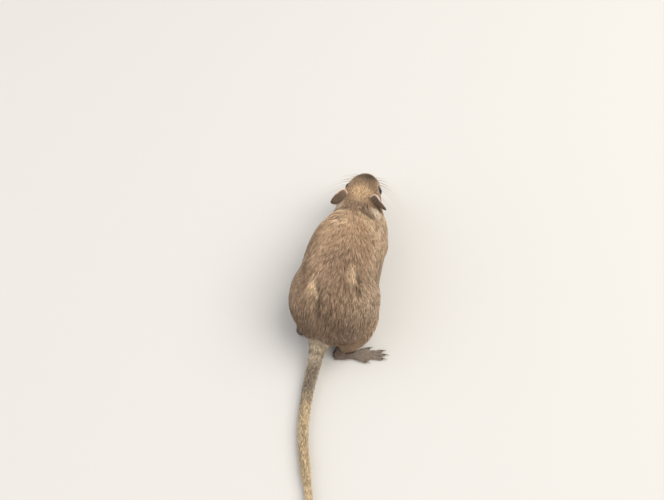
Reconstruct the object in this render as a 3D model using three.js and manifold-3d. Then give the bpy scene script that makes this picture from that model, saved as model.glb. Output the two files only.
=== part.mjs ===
// A life-size gerbil, crouched on all fours with its tail laid out behind it.
// Millimetres: +X is the animal's left, -Y is forward, +Z is up, and the floor is z = 0.
import * as THREE from "three";
import { mergeVertices } from "three/addons/utils/BufferGeometryUtils.js";
import Module from "manifold-3d";

const wasm = await Module();
wasm.setup();

// Driving dimensions
const BODY_LENGTH = 125; // back of the rump to the tip of the nose
const HIP_WIDTH = 47; // the trunk alone, between the thighs
const BACK_HEIGHT = 47; // floor to the top of the arched back
const HEAD_TURN = 2; // degrees to the animal's left
const EYE_DIAMETER = 6.4;
const LID_THICKNESS = 1.2;
const EAR_LENGTH = 10.4;
const EAR_WIDTH = 8.3;
const EAR_THICKNESS = 0.9;
const HIND_FOOT_LENGTH = 32;
const FORE_PAW_LENGTH = 12;
const TAIL_WIDTH = 5.8;
const TAIL_ROOT_WIDTH = 12;
const MOUTH_DEPTH = 1;
const GAP = 0.3; // left between parts that touch

const UP = new THREE.Vector3(0, 0, 1);
const LEFT = 1;
const RIGHT = -1;

// A point measured forward from the back of the rump, to the animal's left, and up from the floor.
function place(forward, left, up) {
  return new THREE.Vector3(left, -forward, up);
}

function degrees(angle) {
  return THREE.MathUtils.degToRad(angle);
}

function between(from, to, share) {
  return THREE.MathUtils.lerp(from, to, share);
}

// How much of its full size a form has at a distance from its own round end.
function roundEnd(distance, radius) {
  return Math.sqrt(1 - (1 - THREE.MathUtils.clamp(distance / radius, 0, 1)) ** 2);
}

function even(share) {
  return share;
}

// Shares from 0 to 1 that lie closer together towards both ends.
function closerAtEnds(share) {
  return (1 - Math.cos(Math.PI * share)) / 2;
}

// Solids

function solid(geometry) {
  const bare = new THREE.BufferGeometry()
    .setAttribute("position", geometry.getAttribute("position"))
    .setIndex(geometry.getIndex());
  const merged = mergeVertices(bare, 1e-4);
  return new wasm.Manifold(
    new wasm.Mesh({
      numProp: 3,
      vertProperties: merged.getAttribute("position").array,
      triVerts: Uint32Array.from(merged.getIndex().array),
    }),
  );
}

function solidFrom(points, faces) {
  const geometry = new THREE.BufferGeometry()
    .setAttribute("position", new THREE.Float32BufferAttribute(points, 3))
    .setIndex(faces);
  return solid(geometry);
}

// A closed skin over oval rings that ends in a point at both ends. ring(share) gives a ring's middle, the
// way it faces, which way is its top, and how far it reaches out to both sides, up and down.
function loft(ring, { rings, sides, spacing = closerAtEnds }) {
  const points = [...ring(0).middle.toArray()];
  const faces = [];
  for (let i = 1; i < rings; i++) {
    const { middle, ahead, top = UP, out, up, down } = ring(spacing(i / rings));
    const across = new THREE.Vector3().crossVectors(ahead, top).normalize();
    const rise = new THREE.Vector3().crossVectors(across, ahead).normalize();
    for (let j = 0; j < sides; j++) {
      const turn = (2 * Math.PI * j) / sides;
      const lift = Math.sin(turn);
      const point = middle.clone();
      point.addScaledVector(across, Math.cos(turn) * out);
      point.addScaledVector(rise, lift * (lift > 0 ? up : down));
      points.push(...point.toArray());
    }
  }
  points.push(...ring(1).middle.toArray());
  const last = (rings - 1) * sides + 1;
  for (let j = 0; j < sides; j++) {
    const next = (j + 1) % sides;
    faces.push(0, 1 + j, 1 + next);
    for (let i = 0; i < rings - 2; i++) {
      const here = 1 + i * sides;
      const there = here + sides;
      faces.push(here + j, there + j, there + next, here + j, there + next, here + next);
    }
    faces.push(last, last - sides + next, last - sides + j);
  }
  return solidFrom(points, faces);
}

// A limb along a curve with round ends. reach(share) gives its half width, and its height if it isn't round.
function limb(curve, reach, { rings = 10, sides = 12, top = UP, spacing } = {}) {
  const length = curve.getLength();
  const ring = (share) => {
    const [out, up = out, down = up] = [reach(share)].flat();
    const full = roundEnd(share * length, up) * roundEnd((1 - share) * length, up);
    return {
      middle: curve.getPointAt(share),
      ahead: curve.getTangentAt(share),
      top,
      out: out * full,
      up: up * full,
      down: down * full,
    };
  };
  return loft(ring, { rings, sides, spacing });
}

// A claw or a lock of hair: a blade along a curve that ends in a point.
function blade(curve, width, thickness, { rings = 4, sides = 5, top = UP } = {}) {
  const ring = (share) => {
    const taper = Math.min(1, 0.6 + share) * (1 - share) ** 0.6;
    return {
      middle: curve.getPointAt(share),
      ahead: curve.getTangentAt(share),
      top,
      out: (width / 2) * taper,
      up: (thickness / 2) * taper,
      down: (thickness / 2) * taper,
    };
  };
  return loft(ring, { rings, sides, spacing: even });
}

// An egg shape whose long axis points ahead.
function lobe(middle, ahead, [long, out, up], { rings = 9, sides = 14 } = {}) {
  const direction = ahead.clone().normalize();
  const ring = (share) => {
    const height = 2 * share - 1;
    const full = Math.sqrt(Math.max(0, 1 - height * height));
    return {
      middle: middle.clone().addScaledVector(direction, height * long),
      ahead: direction,
      out: out * full,
      up: up * full,
      down: up * full,
    };
  };
  return loft(ring, { rings, sides });
}

function curveThrough(...points) {
  return new THREE.CatmullRomCurve3(points, false, "centripetal");
}

function join(...pieces) {
  return pieces.reduce((whole, piece) => whole.add(piece));
}

function cut(piece, ...cutters) {
  return cutters.reduce((left, cutter) => left.subtract(cutter), piece);
}

// The largest closed body of a solid, without the scraps that a cut leaves.
function largest(piece) {
  return piece.decompose().sort((a, b) => b.volume() - a.volume())[0];
}

// A thin slab across a form at a ring, which parts it into two nodes.
function parting({ middle, ahead }) {
  const slab = new THREE.BoxGeometry(90, 90, GAP);
  slab.applyQuaternion(new THREE.Quaternion().setFromUnitVectors(UP, ahead));
  slab.translate(middle.x, middle.y, middle.z);
  return solid(slab);
}

// Everything under the floor, which leaves small flats on what rests there.
function underFloor() {
  const reach = 500;
  return solid(new THREE.BoxGeometry(reach, reach, reach).translate(0, 0, -reach / 2));
}

// Trunk: rump, back, neck and head in one form

// Rings from rump to nose. "along" is a share of BODY_LENGTH. "sway" to the left and "out" are shares of half
// of HIP_WIDTH. "level" is the height of the widest line, and "up" and "down" the reach from it; these three
// are shares of BACK_HEIGHT.
const TRUNK = [
  { name: "rump", along: 0.0, sway: 0.02, level: 0.27, out: 0.74, up: 0.32, down: 0.17 },
  { name: "haunch", along: 0.112, sway: 0.01, level: 0.35, out: 0.86, up: 0.46, down: 0.23 },
  { name: "hips", along: 0.224, sway: 0.0, level: 0.4, out: 0.93, up: 0.57, down: 0.32 },
  { name: "loin", along: 0.337, sway: 0.02, level: 0.42, out: 0.97, up: 0.58, down: 0.35 },
  { name: "ribs", along: 0.465, sway: 0.02, level: 0.43, out: 0.96, up: 0.545, down: 0.33 },
  { name: "shoulder", along: 0.576, sway: -0.06, level: 0.44, out: 0.89, up: 0.46, down: 0.3 },
  { name: "neck", along: 0.671, sway: -0.05, level: 0.47, out: 0.74, up: 0.355, down: 0.28 },
  { name: "ears", along: 0.736, sway: 0.0, level: 0.49, out: 0.605, up: 0.3, down: 0.265 },
  { name: "cheeks", along: 0.792, sway: 0.0, level: 0.485, out: 0.56, up: 0.28, down: 0.26 },
  { name: "eyes", along: 0.857, sway: 0.0, level: 0.48, out: 0.495, up: 0.23, down: 0.22 },
  { name: "muzzle", along: 0.925, sway: 0.0, level: 0.42, out: 0.42, up: 0.18, down: 0.165 },
  { name: "nose", along: 1.0, sway: 0.0, level: 0.38, out: 0.235, up: 0.115, down: 0.095 },
];
const RUMP_ROUNDING = 15;
const NOSE_ROUNDING = 6;
const HEAD_TURNS_FROM = 0.7;
const TRUNK_SIZES = ["sway", "level", "out", "up", "down"];
const trunkTable = new THREE.CubicInterpolant(
  TRUNK.map((ring) => ring.along),
  TRUNK.flatMap((ring) => TRUNK_SIZES.map((size) => ring[size])),
  TRUNK_SIZES.length,
);

// How far to the left the turn of the head carries a point of the middle line, in a soft bend.
function headSway(forward) {
  const softness = 5;
  const beyond = Math.max(0, forward - HEAD_TURNS_FROM * BODY_LENGTH);
  return (Math.tan(degrees(HEAD_TURN)) * beyond ** 2) / (beyond + softness);
}

function trunkMiddle(forward) {
  const [sway, level] = trunkTable.evaluate(forward / BODY_LENGTH);
  return place(forward, (sway * HIP_WIDTH) / 2 + headSway(forward), level * BACK_HEIGHT);
}

// The trunk's ring at a distance forward of the rump, grown all round where a clearance is wanted.
function trunkRing(forward, grow = 0) {
  const step = 0.5;
  const [, , out, up, down] = trunkTable.evaluate(forward / BODY_LENGTH);
  const full =
    roundEnd(forward + grow, RUMP_ROUNDING) * roundEnd(BODY_LENGTH + grow - forward, NOSE_ROUNDING);
  return {
    middle: trunkMiddle(forward),
    ahead: trunkMiddle(forward + step).sub(trunkMiddle(forward - step)).normalize(),
    out: ((out * HIP_WIDTH) / 2) * full + grow,
    up: up * BACK_HEIGHT * full + grow,
    down: down * BACK_HEIGHT * full + grow,
  };
}

function trunk(grow = 0) {
  const ring = (share) => trunkRing(-grow + share * (BODY_LENGTH + 2 * grow), grow);
  return loft(ring, { rings: 36, sides: 32 });
}

// A point on the trunk, sunk under its surface. The turn is 0 at the widest line and 90 on the back.
function onTrunk(share, side, turn, sunk) {
  const { middle, ahead, out, up, down } = trunkRing(share * BODY_LENGTH);
  const left = new THREE.Vector3().crossVectors(UP, ahead).normalize();
  const rise = new THREE.Vector3().crossVectors(ahead, left).normalize();
  const lift = Math.sin(degrees(turn));
  const reach = new THREE.Vector3()
    .addScaledVector(left, side * Math.cos(degrees(turn)) * out)
    .addScaledVector(rise, lift * (lift > 0 ? up : down));
  return middle.add(reach.setLength(reach.length() - sunk));
}

// Head

// A direction or a point of the head, which is turned a little away from straight ahead.
function towards(forward, left, up) {
  return place(forward, left, up).applyAxisAngle(UP, degrees(HEAD_TURN));
}

function onHead(share, left, up) {
  return trunkMiddle(share * BODY_LENGTH).setZ(up).add(towards(0, left, 0));
}

const EYE_ALONG = 0.86;
const EYE_TURN = 12;
const EYE_SUNK = 2.6;

function eyeMiddle(side) {
  return onTrunk(EYE_ALONG, side, EYE_TURN, EYE_SUNK);
}

function eyeball(side, grow = 0) {
  const radius = EYE_DIAMETER / 2 + grow;
  return lobe(eyeMiddle(side), towards(0.3, side, 0.3), [radius, radius, radius], { rings: 10, sides: 16 });
}

// Upper and lower lid as one oval rim that lies round the eyeball, level with the head's surface.
function lids(side) {
  const outward = towards(0.12, side, 0.42).normalize();
  const forward = towards(1, 0, -0.25).projectOnPlane(outward).normalize();
  const rise = new THREE.Vector3().crossVectors(outward, forward);
  const rim = new THREE.TorusGeometry(EYE_DIAMETER / 2 + 0.1, LID_THICKNESS / 2, 6, 18);
  rim.scale(1.07, 0.95, 1);
  rim.applyMatrix4(new THREE.Matrix4().makeBasis(forward, rise, outward));
  const middle = eyeMiddle(side).addScaledVector(outward, 0.75);
  rim.translate(middle.x, middle.y, middle.z);
  return solid(rim);
}

function whiskerPad(side) {
  return lobe(onHead(0.936, 3.6 * side, 17.6), towards(1, -0.16 * side, -0.2), [6, 4.1, 4]);
}

function chin() {
  return lobe(onHead(0.92, 0, 13.2), towards(1, 0, 0.12), [6, 3.8, 2.4]);
}

function nosePad() {
  return lobe(onHead(0.982, 0, 19.7), towards(1, 0, -0.3), [2.9, 2.5, 2], { rings: 8, sides: 10 });
}

// The mouth is a slit round the front of the muzzle, between the whisker pads and the chin, with a cleft
// that runs up from its middle to the nose.
function mouth() {
  const slit = lobe(onHead(0.94, 0, 14.6), towards(1, 0, -0.03), [9.5, 9, 0.3], { rings: 8, sides: 12 });
  const cleftLine = curveThrough(onHead(0.982, 0, 14), onHead(0.996, 0, 16), onHead(1.001, 0, 18.2));
  const cleft = limb(cleftLine, () => 0.4, { rings: 6, sides: 6, top: towards(1, 0, 0) });
  return join(cut(slit, trunk(-MOUTH_DEPTH)), cleft);
}

function nostril(side) {
  const middle = onHead(0.997, 1.4 * side, 19.4);
  return lobe(middle, towards(0.5, side, 0.35), [1.2, 0.5, 0.6], { rings: 5, sides: 6 });
}

// Ears

// The left ear stands and the right one leans out. "facing" is how far its opening turns out from ahead.
const EARS = {
  [LEFT]: { along: 0.728, turn: 49, axis: [-0.15, 0.6, 0.78], facing: 45 },
  [RIGHT]: { along: 0.725, turn: 58, axis: [-0.35, 0.76, 0.55], facing: 20 },
};
const EAR_SUNK = 2.1;

// How wide the ear is at a height from 0 at its root to 1 at its tip.
function earWidth(height) {
  const widest = 0.55;
  const root = 0.5;
  const tip = 0.15;
  if (height < widest) return EAR_WIDTH * between(root, 1, THREE.MathUtils.smoothstep(height, 0, widest));
  return EAR_WIDTH * Math.max(tip, Math.sqrt(1 - ((height - widest) / (1 - widest)) ** 2));
}

// A cup of skin that leans back on the head and opens forward and outward.
function ear(side) {
  const { along, turn, axis: [forward, outward, up], facing } = EARS[side];
  const root = onTrunk(along, side, turn, EAR_SUNK);
  const axis = towards(forward, outward * side, up).normalize();
  const ahead = towards(1, 0, 0).applyAxisAngle(UP, degrees(facing * side));
  const opening = ahead.projectOnPlane(axis).normalize();
  const across = new THREE.Vector3().crossVectors(axis, opening).multiplyScalar(side);
  const wide = 8;
  const tall = 7;
  const point = (column, row, outside) => {
    const height = row / tall;
    const halfBend = degrees(between(80, 35, height));
    const radius = earWidth(height) / 2 / Math.sin(halfBend);
    const bend = halfBend * ((2 * column) / wide - 1);
    const backward = height * height;
    const reach = radius + (outside ? EAR_THICKNESS : 0);
    return root
      .clone()
      .addScaledVector(axis, height * EAR_LENGTH)
      .addScaledVector(across, reach * Math.sin(bend))
      .addScaledVector(opening, radius - reach * Math.cos(bend) - backward);
  };
  const points = [];
  for (const outside of [false, true])
    for (let row = 0; row <= tall; row++)
      for (let column = 0; column <= wide; column++) points.push(...point(column, row, outside).toArray());
  const inner = (column, row) => row * (wide + 1) + column;
  const outer = (column, row) => inner(column, row) + (wide + 1) * (tall + 1);
  const faces = [];
  const quad = (a, b, c, d) => (side === LEFT ? faces.push(a, c, b, a, d, c) : faces.push(a, b, c, a, c, d));
  for (let row = 0; row < tall; row++) {
    for (let column = 0; column < wide; column++) {
      quad(inner(column, row), inner(column, row + 1), inner(column + 1, row + 1), inner(column + 1, row));
      quad(outer(column, row), outer(column + 1, row), outer(column + 1, row + 1), outer(column, row + 1));
    }
    quad(inner(0, row), outer(0, row), outer(0, row + 1), inner(0, row + 1));
    quad(inner(wide, row), inner(wide, row + 1), outer(wide, row + 1), outer(wide, row));
  }
  for (let column = 0; column < wide; column++) {
    quad(inner(column, 0), inner(column + 1, 0), outer(column + 1, 0), outer(column, 0));
    quad(inner(column, tall), outer(column, tall), outer(column + 1, tall), inner(column + 1, tall));
  }
  return solidFrom(points, faces);
}

// Feet

const HIND_FOOT = {
  length: HIND_FOOT_LENGTH,
  halfWidths: [3.1, 2.5, 3.7], // at heel, waist and ball
  heights: [4.4, 2.9], // at heel and ball
  toes: [
    { across: -0.95, back: 5.5, length: 5.5, splay: -20 },
    { across: -0.5, back: 0, length: 9, splay: -8 },
    { across: 0, back: -0.6, length: 9.6, splay: 0 },
    { across: 0.5, back: 0, length: 9, splay: 8 },
    { across: 0.95, back: 4.5, length: 6.5, splay: 18 },
  ],
  toeRadius: 1.15,
  claw: 2.4,
};
const FORE_PAW = {
  length: FORE_PAW_LENGTH,
  halfWidths: [2.5, 2.5, 2.9],
  heights: [3.6, 2.5],
  toes: [
    { across: -0.9, back: 1.2, length: 3.6, splay: -26 },
    { across: -0.33, back: 0, length: 4.4, splay: -9 },
    { across: 0.33, back: 0, length: 4.4, splay: 9 },
    { across: 0.9, back: 1.2, length: 3.6, splay: 26 },
  ],
  toeRadius: 0.95,
  claw: 2,
};

function turned(direction, angle) {
  return direction.clone().applyAxisAngle(UP, degrees(angle));
}

// One toe with its claw, from its root in the ball of the foot.
function toe(root, direction, length, radius, claw) {
  const step = (distance, height) => root.clone().addScaledVector(direction, distance).setZ(height);
  const flesh = curveThrough(
    step(-0.3 * length, radius * 1.5),
    step(0.4 * length, radius * 1.35),
    step(length, radius * 0.8),
  );
  const nail = curveThrough(
    step(length - 1.2, radius * 1.25),
    step(length + 0.4 * claw, radius * 1.25),
    step(length + claw, 0.35),
  );
  return join(limb(flesh, () => radius, { rings: 5, sides: 6 }), blade(nail, 1.3, 1.3));
}

// A sole from heel to ball, with its toes and claws.
function foot(heel, heading, { length, halfWidths, heights, toes, toeRadius, claw }, grow = 0) {
  const direction = heading.clone().normalize();
  const side = new THREE.Vector3().crossVectors(UP, direction);
  const longestToe = Math.max(...toes.map((one) => one.length - one.back));
  const ballAt = length - longestToe - claw;
  const step = (distance, height) => heel.clone().addScaledVector(direction, distance).setZ(height);
  const line = curveThrough(step(0, heights[0] / 2), step(ballAt / 2, 2), step(ballAt + 1.5, heights[1] / 2));
  const [heelWidth, waist, ball] = halfWidths;
  const reach = (share) => [
    (share < 0.5 ? between(heelWidth, waist, share * 2) : between(waist, ball, share * 2 - 1)) + grow,
    between(heights[0], heights[1], share) / 2 + grow,
    2.6,
  ];
  const toePieces = toes.map((one) => {
    const root = step(ballAt - one.back, 0).addScaledVector(side, one.across * (ball - toeRadius));
    return toe(root, turned(direction, one.splay), one.length, toeRadius + grow, claw);
  });
  return join(limb(line, reach, { rings: 9, sides: 12 }), ...toePieces);
}

// Hind legs: the left foot points ahead under its thigh, and the right one is set out to the side

const HIND_LEGS = {
  [LEFT]: {
    thigh: { middle: place(26, 13.6, 20.5), size: [21.5, 11.8, 16.5] },
    shank: [place(39, 17.5, 11), place(24, 17, 9.5), place(10, 14.5, 7.5)],
    ankleRadius: 4.6,
    heel: place(8.5, 15.5, 0),
    heading: place(1, 0.13, 0),
  },
  [RIGHT]: {
    thigh: { middle: place(23, -14, 20), size: [22.5, 11.8, 17] },
    shank: [place(33, -18.5, 11), place(15, -18, 9), place(3, -8.5, 6.8)],
    ankleRadius: 5.2,
    heel: place(1, -5.5, 0),
    heading: place(0.26, -1, 0),
  },
};
const KNEE_RADIUS = 8.8;

function hindFoot(side, grow = 0) {
  const { heel, heading } = HIND_LEGS[side];
  return foot(heel, heading, HIND_FOOT, grow);
}

// Thigh, knee and the shank that folds back from the knee to the heel.
function hindLeg(side) {
  const { thigh, shank, ankleRadius } = HIND_LEGS[side];
  const haunch = lobe(thigh.middle, place(1, 0.1 * side, -0.3), thigh.size, { rings: 15, sides: 22 });
  const radius = (share) => between(KNEE_RADIUS, ankleRadius, share);
  return join(haunch, limb(curveThrough(...shank), radius, { rings: 12, sides: 16 }));
}

// Forelegs

// Points are how far forward, how far from the trunk's middle line and how far above the floor they lie.
const FORELEG = {
  shoulder: { middle: [69.5, 14.7, 17.2], size: [12.5, 7.2, 8.5] },
  elbow: [65.5, 15, 10.5],
  wrist: [80, 11.6, 4.4],
  elbowRadius: 5.4,
  wristRadius: 2.5,
  stride: { [LEFT]: 0, [RIGHT]: 4 },
};

function besideTrunk(side, [forward, outward, up]) {
  return trunkMiddle(forward).add(place(0, outward * side, 0)).setZ(up);
}

// Upper arm, elbow and the forearm that reaches forward and down to the paw.
function foreLeg(side) {
  const { shoulder, elbow, wrist, elbowRadius, wristRadius, stride } = FORELEG;
  const upperArm = lobe(besideTrunk(side, shoulder.middle), place(0.45, 0, 1), shoulder.size, {
    rings: 11,
    sides: 18,
  });
  const elbowAt = besideTrunk(side, elbow);
  const wristAt = besideTrunk(side, wrist).add(place(stride[side], 0, 0));
  const forearm = curveThrough(elbowAt, elbowAt.clone().lerp(wristAt, 0.5).setZ(7.6), wristAt);
  return join(upperArm, limb(forearm, (share) => between(elbowRadius, wristRadius, share), { sides: 14 }));
}

function forePaw(side, grow = 0) {
  const heel = besideTrunk(side, FORELEG.wrist).add(place(FORELEG.stride[side] - 1, 0, 0)).setZ(0);
  return foot(heel, place(1, 0.12 * side, 0), FORE_PAW, grow);
}

// Tail

// How far behind the rump, to the left and above the floor the tail's middle line lies.
const TAIL_ROUTE = [
  [-9, 2, 15],
  [1, 2.5, 10.6],
  [12.5, 2.5, 5.4],
  [24, 2.2, 3.4],
  [45, -1.2, 3],
  [64, -8.1, 2.85],
  [97, -22.5, 2.75],
];
const tailCurve = curveThrough(...TAIL_ROUTE.map(([back, left, up]) => place(-back, left, up)));
const TAIL_CUTS = [0.42, 0.7];
const TAIL_TAPER = 0.2; // share of the tail over which its root's extra width falls to about a third
const TUFT = { from: 0.74, to: 0.97, locks: 16, length: 16, width: 3.8, thickness: 1.1, lift: 1.1 };

function tailRadius(share) {
  const root = Math.exp(-share / TAIL_TAPER) * (TAIL_ROOT_WIDTH - TAIL_WIDTH);
  const tip = 1 - 0.45 * THREE.MathUtils.smoothstep(share, 0.8, 1);
  return ((TAIL_WIDTH + root) / 2) * tip;
}

// A flat tapered lock of hair that leaves the tail, bends along it and ends in a point.
function tailLock(share, turn) {
  const root = tailCurve.getPointAt(share);
  const along = tailCurve.getTangentAt(share);
  const across = new THREE.Vector3().crossVectors(along, UP).normalize();
  const outward = across.multiplyScalar(Math.cos(degrees(turn))).addScaledVector(UP, Math.sin(degrees(turn)));
  const reach = tailRadius(share);
  const step = (distance, off) => {
    const point = root.clone().addScaledVector(along, distance * TUFT.length).addScaledVector(outward, off);
    return point.setZ(Math.max(point.z, TUFT.thickness));
  };
  const line = curveThrough(
    step(-0.15, reach * 0.3),
    step(0.22, reach + TUFT.lift * 0.3),
    step(0.55, reach + TUFT.lift * 0.45),
    step(0.85, reach * 0.6 + TUFT.lift * 0.4),
  );
  return blade(line, TUFT.width, TUFT.thickness, { rings: 5, top: outward });
}

// The locks wind round the top and the sides of the tail's end, each a golden turn from the one before.
function tuft() {
  const goldenTurn = 137.5;
  return Array.from({ length: TUFT.locks }, (_, i) =>
    tailLock(between(TUFT.from, TUFT.to, i / (TUFT.locks - 1)), ((i * goldenTurn) % 220) - 20),
  );
}

// Materials

function finish(color, roughness) {
  return new THREE.MeshStandardMaterial({ color, roughness, metalness: 0 });
}

const bodyCoat = finish("#967b64", 0.85);
const headCoat = finish("#8f7763", 0.85);
const tailCoat = finish("#a8947a", 0.85);
const bareSkin = finish("#a07f72", 0.6);
const footFur = finish("#86786c", 0.75);
const eyeBlack = finish("#0e0b0a", 0.08);

// Assembly

const gerbil = new THREE.Group();

function add(name, piece, material) {
  const mesh = largest(piece).getMesh();
  const geometry = new THREE.BufferGeometry()
    .setAttribute("position", new THREE.Float32BufferAttribute(mesh.vertProperties, 3))
    .setIndex(new THREE.Uint32BufferAttribute(mesh.triVerts, 1));
  geometry.computeVertexNormals();
  const node = new THREE.Mesh(geometry, material);
  node.name = name;
  gerbil.add(node);
}

// The parts of a form that slabs have cut, from the animal's rear to its front.
function partsOf(piece) {
  const scrap = 50;
  return piece
    .decompose()
    .filter((part) => part.volume() > scrap)
    .sort((a, b) => b.boundingBox().max[1] - a.boundingBox().max[1]);
}

const floor = underFloor();
const trunkRoom = trunk(GAP);
const SIDES = [
  [LEFT, "left"],
  [RIGHT, "right"],
];

// The trunk is joined whole and parted at both ends of the neck.
const NECK_FROM = 0.615;
const NECK_TO = 0.695;
const trunkWithFace = cut(
  join(trunk(), ...SIDES.flatMap(([side]) => [whiskerPad(side), lids(side)]), chin(), nosePad()),
  mouth(),
  ...SIDES.flatMap(([side]) => [nostril(side), eyeball(side, GAP)]),
  ...[NECK_FROM, NECK_TO].map((share) => parting(trunkRing(share * BODY_LENGTH))),
);
const [torso, neck, head] = partsOf(trunkWithFace);
add("torso", torso, bodyCoat);
add("neck", neck, bodyCoat);
add("head", head, headCoat);

for (const [side, word] of SIDES) {
  add(`${word}_eye`, eyeball(side), eyeBlack);
  add(`${word}_ear`, cut(ear(side), trunkRoom), bareSkin);
  add(`${word}_hind_leg`, cut(hindLeg(side), trunkRoom, hindFoot(side, GAP), floor), bodyCoat);
  add(`${word}_hind_foot`, cut(hindFoot(side), trunkRoom, floor), footFur);
  add(`${word}_foreleg`, cut(foreLeg(side), trunkRoom, forePaw(side, GAP), floor), bodyCoat);
  add(`${word}_forepaw`, cut(forePaw(side), trunkRoom, floor), footFur);
}

const tailForm = limb(tailCurve, tailRadius, { rings: 36, spacing: even });
const tailPartings = TAIL_CUTS.map((share) =>
  parting({ middle: tailCurve.getPointAt(share), ahead: tailCurve.getTangentAt(share) }),
);
const tail = cut(join(tailForm, ...tuft()), trunkRoom, hindFoot(RIGHT, GAP), floor, ...tailPartings);
const [tailTip, tailMiddle, tailBase] = partsOf(tail);
add("tail_base", tailBase, tailCoat);
add("tail_middle", tailMiddle, tailCoat);
add("tail_tip", tailTip, tailCoat);

// The origin lies on the floor under the middle of the whole animal.
const middle = new THREE.Box3().setFromObject(gerbil).getCenter(new THREE.Vector3());
gerbil.position.set(-middle.x, -middle.y, 0);

export default gerbil;
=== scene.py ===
# %% [markdown]
# A life-size gerbil, dressed in Blender
#
# The animal crouches on all fours with its tail laid out behind it, and the camera looks down on it from
# behind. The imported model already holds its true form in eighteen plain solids. This lesson dresses them:
# one skin runs over all the flesh, a coat of small solid tufts grows from that skin, and the eyes, lids,
# ears, claws and whiskers are pieces of their own. Fur could be particle hair, which is quick to comb, but
# it is lost when a model is exported. Here every tuft is real mesh, made with array arithmetic.

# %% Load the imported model
import math

import bmesh
import bpy
import numpy as np
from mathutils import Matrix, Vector
from mathutils.bvhtree import BVHTree
from mathutils.kdtree import KDTree


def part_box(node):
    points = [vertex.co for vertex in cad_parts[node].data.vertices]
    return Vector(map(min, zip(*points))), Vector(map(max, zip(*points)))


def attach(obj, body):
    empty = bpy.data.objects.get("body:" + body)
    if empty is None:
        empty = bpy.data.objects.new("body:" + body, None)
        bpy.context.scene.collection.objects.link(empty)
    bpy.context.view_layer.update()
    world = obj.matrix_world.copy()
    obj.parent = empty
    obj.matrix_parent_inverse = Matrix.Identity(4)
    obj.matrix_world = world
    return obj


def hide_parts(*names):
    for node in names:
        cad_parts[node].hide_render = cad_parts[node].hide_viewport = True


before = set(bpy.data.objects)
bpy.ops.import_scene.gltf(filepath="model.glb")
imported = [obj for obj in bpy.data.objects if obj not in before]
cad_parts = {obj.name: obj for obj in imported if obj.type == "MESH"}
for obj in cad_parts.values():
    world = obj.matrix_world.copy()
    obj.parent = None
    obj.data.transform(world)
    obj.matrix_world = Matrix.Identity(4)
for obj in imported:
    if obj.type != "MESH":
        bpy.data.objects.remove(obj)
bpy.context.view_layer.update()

# %% [markdown]
# Every place below is measured on the animal itself: how far forward of the rump, how far to the left of
# the trunk's middle line, and how far above the floor, in millimetres. That reads better than x, y and z,
# and it stays true if the whole animal is moved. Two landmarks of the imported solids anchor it.

# %% Measure from the animal
MM = 0.001
RUMP_BULGE = 0.5 * MM  # how far the torso's box reaches behind the end of its middle line
EYES_ASIDE = -0.58 * MM  # from the eyes' middle, which the turned head carries to the left, back to the spine


def middle_of(*nodes):
    corners = np.array([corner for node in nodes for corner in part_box(node)])
    return (corners.min(0) + corners.max(0)) / 2


REAR_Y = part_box("torso")[1].y - RUMP_BULGE
SPINE_X = middle_of("left_eye", "right_eye")[0] + EYES_ASIDE


def at(forward, left, up):
    return np.array([SPINE_X + left * MM, REAR_Y - forward * MM, up * MM])


def heading(forward, left, up):
    direction = np.array([left, -forward, up], float)
    return direction / np.linalg.norm(direction)


def measured(points):
    """How far forward, left and up points lie, in millimetres."""
    return (REAR_Y - points[:, 1]) / MM, (points[:, 0] - SPINE_X) / MM, points[:, 2] / MM


eyes_middle = measured(middle_of("left_eye", "right_eye")[None])
print("the eyes' middle lies", np.round(eyes_middle, 1).ravel(), "mm forward, left and up")

# %% [markdown]
# A camera is three choices: where it stands, where it looks and how wide it sees. This one stands a hand's
# length behind the tail, looks steeply down and sees a wide field, so the head looks smaller than the hips.
# A long lens would be more flattering and wouldn't match. The lens follows from the picture's width.

# %% Set up the camera
PICTURE_WIDTH = 664  # pixels
FOCAL_LENGTH = 531  # pixels, from how the animal narrows towards its head
SENSOR = 36  # mm
DOWNWARD = math.radians(53.7)
CAMERA_PLACE = at(-124.6, -36.4, 277.5)
CAMERA_HEADING = heading(0.970, 0.242, 0)

camera = bpy.data.objects.new("camera", bpy.data.cameras.new("camera"))
camera.data.sensor_width = SENSOR
camera.data.lens = SENSOR * FOCAL_LENGTH / PICTURE_WIDTH
camera.data.clip_start = 10 * MM
camera.data.clip_end = 20
camera.location = CAMERA_PLACE
looks = Vector(CAMERA_HEADING * math.cos(DOWNWARD) + np.array([0, 0, -math.sin(DOWNWARD)]))
camera.rotation_euler = looks.to_track_quat("-Z", "Y").to_euler()
bpy.context.scene.collection.objects.link(camera)
bpy.context.scene.camera = camera
print("lens", round(camera.data.lens, 1), "mm")

# %% [markdown]
# Colours are written as sRGB hex values, as a paint chart gives them, and the shader wants linear light.
# One function does that turn. Another adds a node with its settings and links, so that a material reads as
# a list of what it is made of.

# %% Helpers for materials
def linear(colour):
    channels = np.array([int(colour[i : i + 2], 16) for i in (1, 3, 5)]) / 255
    return np.where(channels <= 0.04045, channels / 12.92, ((channels + 0.055) / 1.055) ** 2.4)


def rgba(colour):
    return (*linear(colour), 1.0)


def node(material, kind, inputs=None, ramp=None, **settings):
    """Adds a node. inputs fills its sockets, by name or number, with values or from other nodes' outputs."""
    made = material.node_tree.nodes.new(kind)
    for name, value in settings.items():
        setattr(made, name, value)
    for socket, value in (inputs or {}).items():
        if isinstance(value, bpy.types.NodeSocket):
            material.node_tree.links.new(value, made.inputs[socket])
        else:
            made.inputs[socket].default_value = value
    for i, (place, colour) in enumerate(ramp or []):
        stop = made.color_ramp.elements[i] if i < 2 else made.color_ramp.elements.new(place)
        stop.position = place
        stop.color = colour
    return made


def new_material(name):
    material = bpy.data.materials.new(name)
    material.use_nodes = True
    material.node_tree.nodes.clear()
    return material


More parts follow.
